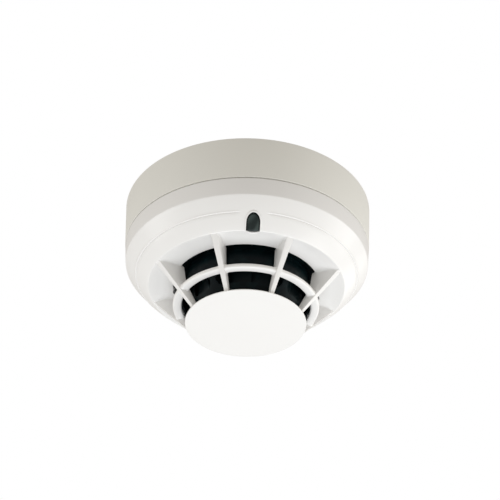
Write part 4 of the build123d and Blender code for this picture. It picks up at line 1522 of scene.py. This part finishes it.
@dataclass
class Screws:
    """The threaded screws of the terminals and of the board."""

    around: AroundAxis
    terminal: Screw = Screw(3.2, 2.2, 1.68)
    board: Screw = Screw(2.2, 1.4, 0.95)
    board_reach: float = 33.0

    def build(self) -> list[bpy.types.Object]:
        """Builds and dresses both sets.

        Returns:
            The finished pieces.
        """
        low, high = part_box("terminal_screws")
        reach = (high.x / MM - self.terminal.head) * math.sqrt(2)
        terminal = self.terminal.build(reach, low.z / MM, high.z / MM)
        low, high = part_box("board_screws")
        board = self.board.build(self.board_reach, low.z / MM, high.z / MM)
        terminals = self.around.ring("terminal_screw_set", terminal, 4, 45.0, NICKEL_STEEL)
        boards = self.around.ring("board_screw_set", board, 3, 30.0, NICKEL_STEEL)
        return [Forge.piece("terminal_screw_set", terminals, NICKEL_STEEL, Body.BASE, Slot.STEEL,
                            ["terminal_screws"], 30.0),
                Forge.piece("board_screw_set", boards, NICKEL_STEEL, Body.HEAD, Slot.STEEL,
                            ["board_screws"], 30.0)]


@dataclass
class CarriedNodes:
    """The CAD nodes whose own shape is shown, with the finish of each."""

    finishes: dict[str, Finish] = field(default_factory=lambda: {
        **{f"base_contact_{n}": TINNED_BRONZE for n in range(1, 5)},
        **{f"head_contact_{n}": TINNED_BRONZE for n in range(1, 5)},
        "clamp_plates": NICKEL_STEEL, "head_housing": HOUSING_PLASTIC, "chamber_base": CHAMBER_BLACK,
        "infrared_emitter": OPTIC_EPOXY, "photodiode": OPTIC_EPOXY, "circuit_board": BOARD_GREEN,
        "tens_switch_body": SWITCH_PLASTIC, "units_switch_body": SWITCH_PLASTIC,
        "tens_dial": DIAL_PLASTIC, "units_dial": DIAL_PLASTIC, "microcontroller": CHIP_EPOXY,
        "capacitor": CAN_ALUMINIUM, "surge_suppressor": CHIP_EPOXY, "shield_can": CAN_ALUMINIUM,
        "reed_switch": SensorGlass("reed_glass", 50.0), "surface_mount_parts": CHIP_CERAMIC,
        "status_led": LAMP_PLASTIC})

    def dress(self) -> None:
        """Gives every carried node its finish."""
        for node, finish in self.finishes.items():
            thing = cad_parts[node]
            if not thing.material_slots:
                thing.data.materials.append(finish.material())
            for slot in thing.material_slots:
                slot.material = finish.material()
            LOG.info("%s: %s", node, finish.name)


# ------------------------------------------------------------------------------------ studio
@dataclass(frozen=True)
class Softbox:
    """One large soft lamp, placed and aimed in metres."""

    name: str
    at: Triple
    size: float
    power: float
    colour: Triple = (1.0, 1.0, 1.0)
    aim: Triple = (0.0, 0.0, -0.03)

    def build(self) -> None:
        """Puts the lamp in the scene."""
        data = bpy.data.lights.new(self.name, "AREA")
        data.shape, data.size, data.energy, data.color = "SQUARE", self.size, self.power, self.colour
        lamp = bpy.data.objects.new(self.name, data)
        lamp.location = self.at
        aim = Vector(self.aim) - Vector(self.at)
        lamp.rotation_euler = aim.to_track_quat("-Z", "Y").to_euler()
        lamp.visible_camera = False
        bpy.context.scene.collection.objects.link(lamp)


@dataclass
class Studio:
    """Pale floor, soft lamps, white surround and the camera."""

    floor_z: float = -1.25
    floor_half: float = 3.0
    surround: Triple = (1.0, 0.960, 0.905)
    surround_light: float = 0.62
    azimuth: float = -3.0
    elevation: float = -36.052
    distance: float = 1.04
    pitch: float = -0.888
    yaw: float = 0.069
    roll: float = 1.077
    lens: float = 174.83
    lamps: tuple[Softbox, ...] = (
        Softbox("lamp_below", (0.0, 0.0, -1.15), 1.0, 6.6, (0.98, 1.03, 1.10)),
        Softbox("lamp_below_right", (0.8, 0.0, -0.85), 0.6, 2.4),
        Softbox("lamp_right", (1.25, 0.0, -0.15), 0.8, 3.8),
        Softbox("lamp_left", (-1.25, -0.1, -0.2), 0.8, 3.4),
        Softbox("lamp_back", (0.9, 0.9, -0.2), 0.6, 0.9),
    )

    def build(self) -> None:
        """Builds floor, lights, surround and camera."""
        side = self.floor_half / MM
        corners = [(x * side, y * side, self.floor_z / MM) for x, y in ((-1, -1), (1, -1), (1, 1), (-1, 1))]
        floor = Forge.thing("floor", Forge.mesh("floor", corners, [(0, 1, 2, 3)], False))
        floor.data.materials.append(FLOOR_PALE.material())
        for lamp in self.lamps:
            lamp.build()
        self.world()
        self.camera()
        view = bpy.context.scene.view_settings
        view.view_transform, view.look = "Standard", "None"

    def world(self) -> None:
        """A white surround that lights softly."""
        world = bpy.data.worlds.new("surround")
        world.use_nodes = True
        bpy.context.scene.world = world
        graph = Graph(world.node_tree)
        soft, seen = (graph.node("ShaderNodeBackground", {}, {"Color": (*colour, 1.0), "Strength": strength})
                      for colour, strength in ((self.surround, self.surround_light), ((1.0, 1.0, 1.0), 1.0)))
        direct = graph.node("ShaderNodeLightPath").value("Is Camera Ray")
        both = graph.node("ShaderNodeMixShader", {}, {0: direct, 1: soft, 2: seen})
        graph.node("ShaderNodeOutputWorld", {}, {"Surface": both})

    def camera(self) -> None:
        """The camera, below the detector and looking up at its indicator."""
        a, e = math.radians(self.azimuth), math.radians(self.elevation)
        back = Vector((math.sin(a) * math.cos(e), -math.cos(a) * math.cos(e), math.sin(e)))
        right = Vector((math.cos(a), math.sin(a), 0.0))
        ahead = -back
        up = right.cross(ahead)
        ahead = (ahead + math.radians(self.yaw) * right + math.radians(self.pitch) * up).normalized()
        right = ahead.cross(Vector((0.0, 0.0, 1.0))).normalized()
        up = right.cross(ahead)
        roll = math.radians(self.roll)
        right, up = math.cos(roll) * right + math.sin(roll) * up, math.cos(roll) * up - math.sin(roll) * right
        data = bpy.data.cameras.new("camera")
        data.lens, data.sensor_width, data.clip_start, data.clip_end = self.lens, 36.0, 0.05, 50.0
        camera = bpy.data.objects.new("camera", data)
        turn = Matrix((right, up, -ahead)).transposed()
        camera.matrix_world = Matrix.Translation(back * self.distance) @ turn.to_4x4()
        bpy.context.scene.collection.objects.link(camera)
        bpy.context.scene.camera = camera


def main() -> None:
    """Builds every sub-assembly in order, then the studio."""
    logging.basicConfig(level=logging.INFO, format="%(name)s: %(message)s")
    around = AroundAxis()
    low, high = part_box("cover_shell")
    shape = ShoulderShape(seam_z=high.z / MM, band_top=high.x / MM)
    BaseMoulding(around).build()
    lens = IndicatorOutline()
    HeadMoulding(shape, lens, around).build()
    IndicatorWindow(shape, lens).build()
    Chamber(around).build()
    HeatSensors().build()
    Screws(around).build()
    CarriedNodes().dress()
    Studio().build()


if __name__ == "__main__":
    main()
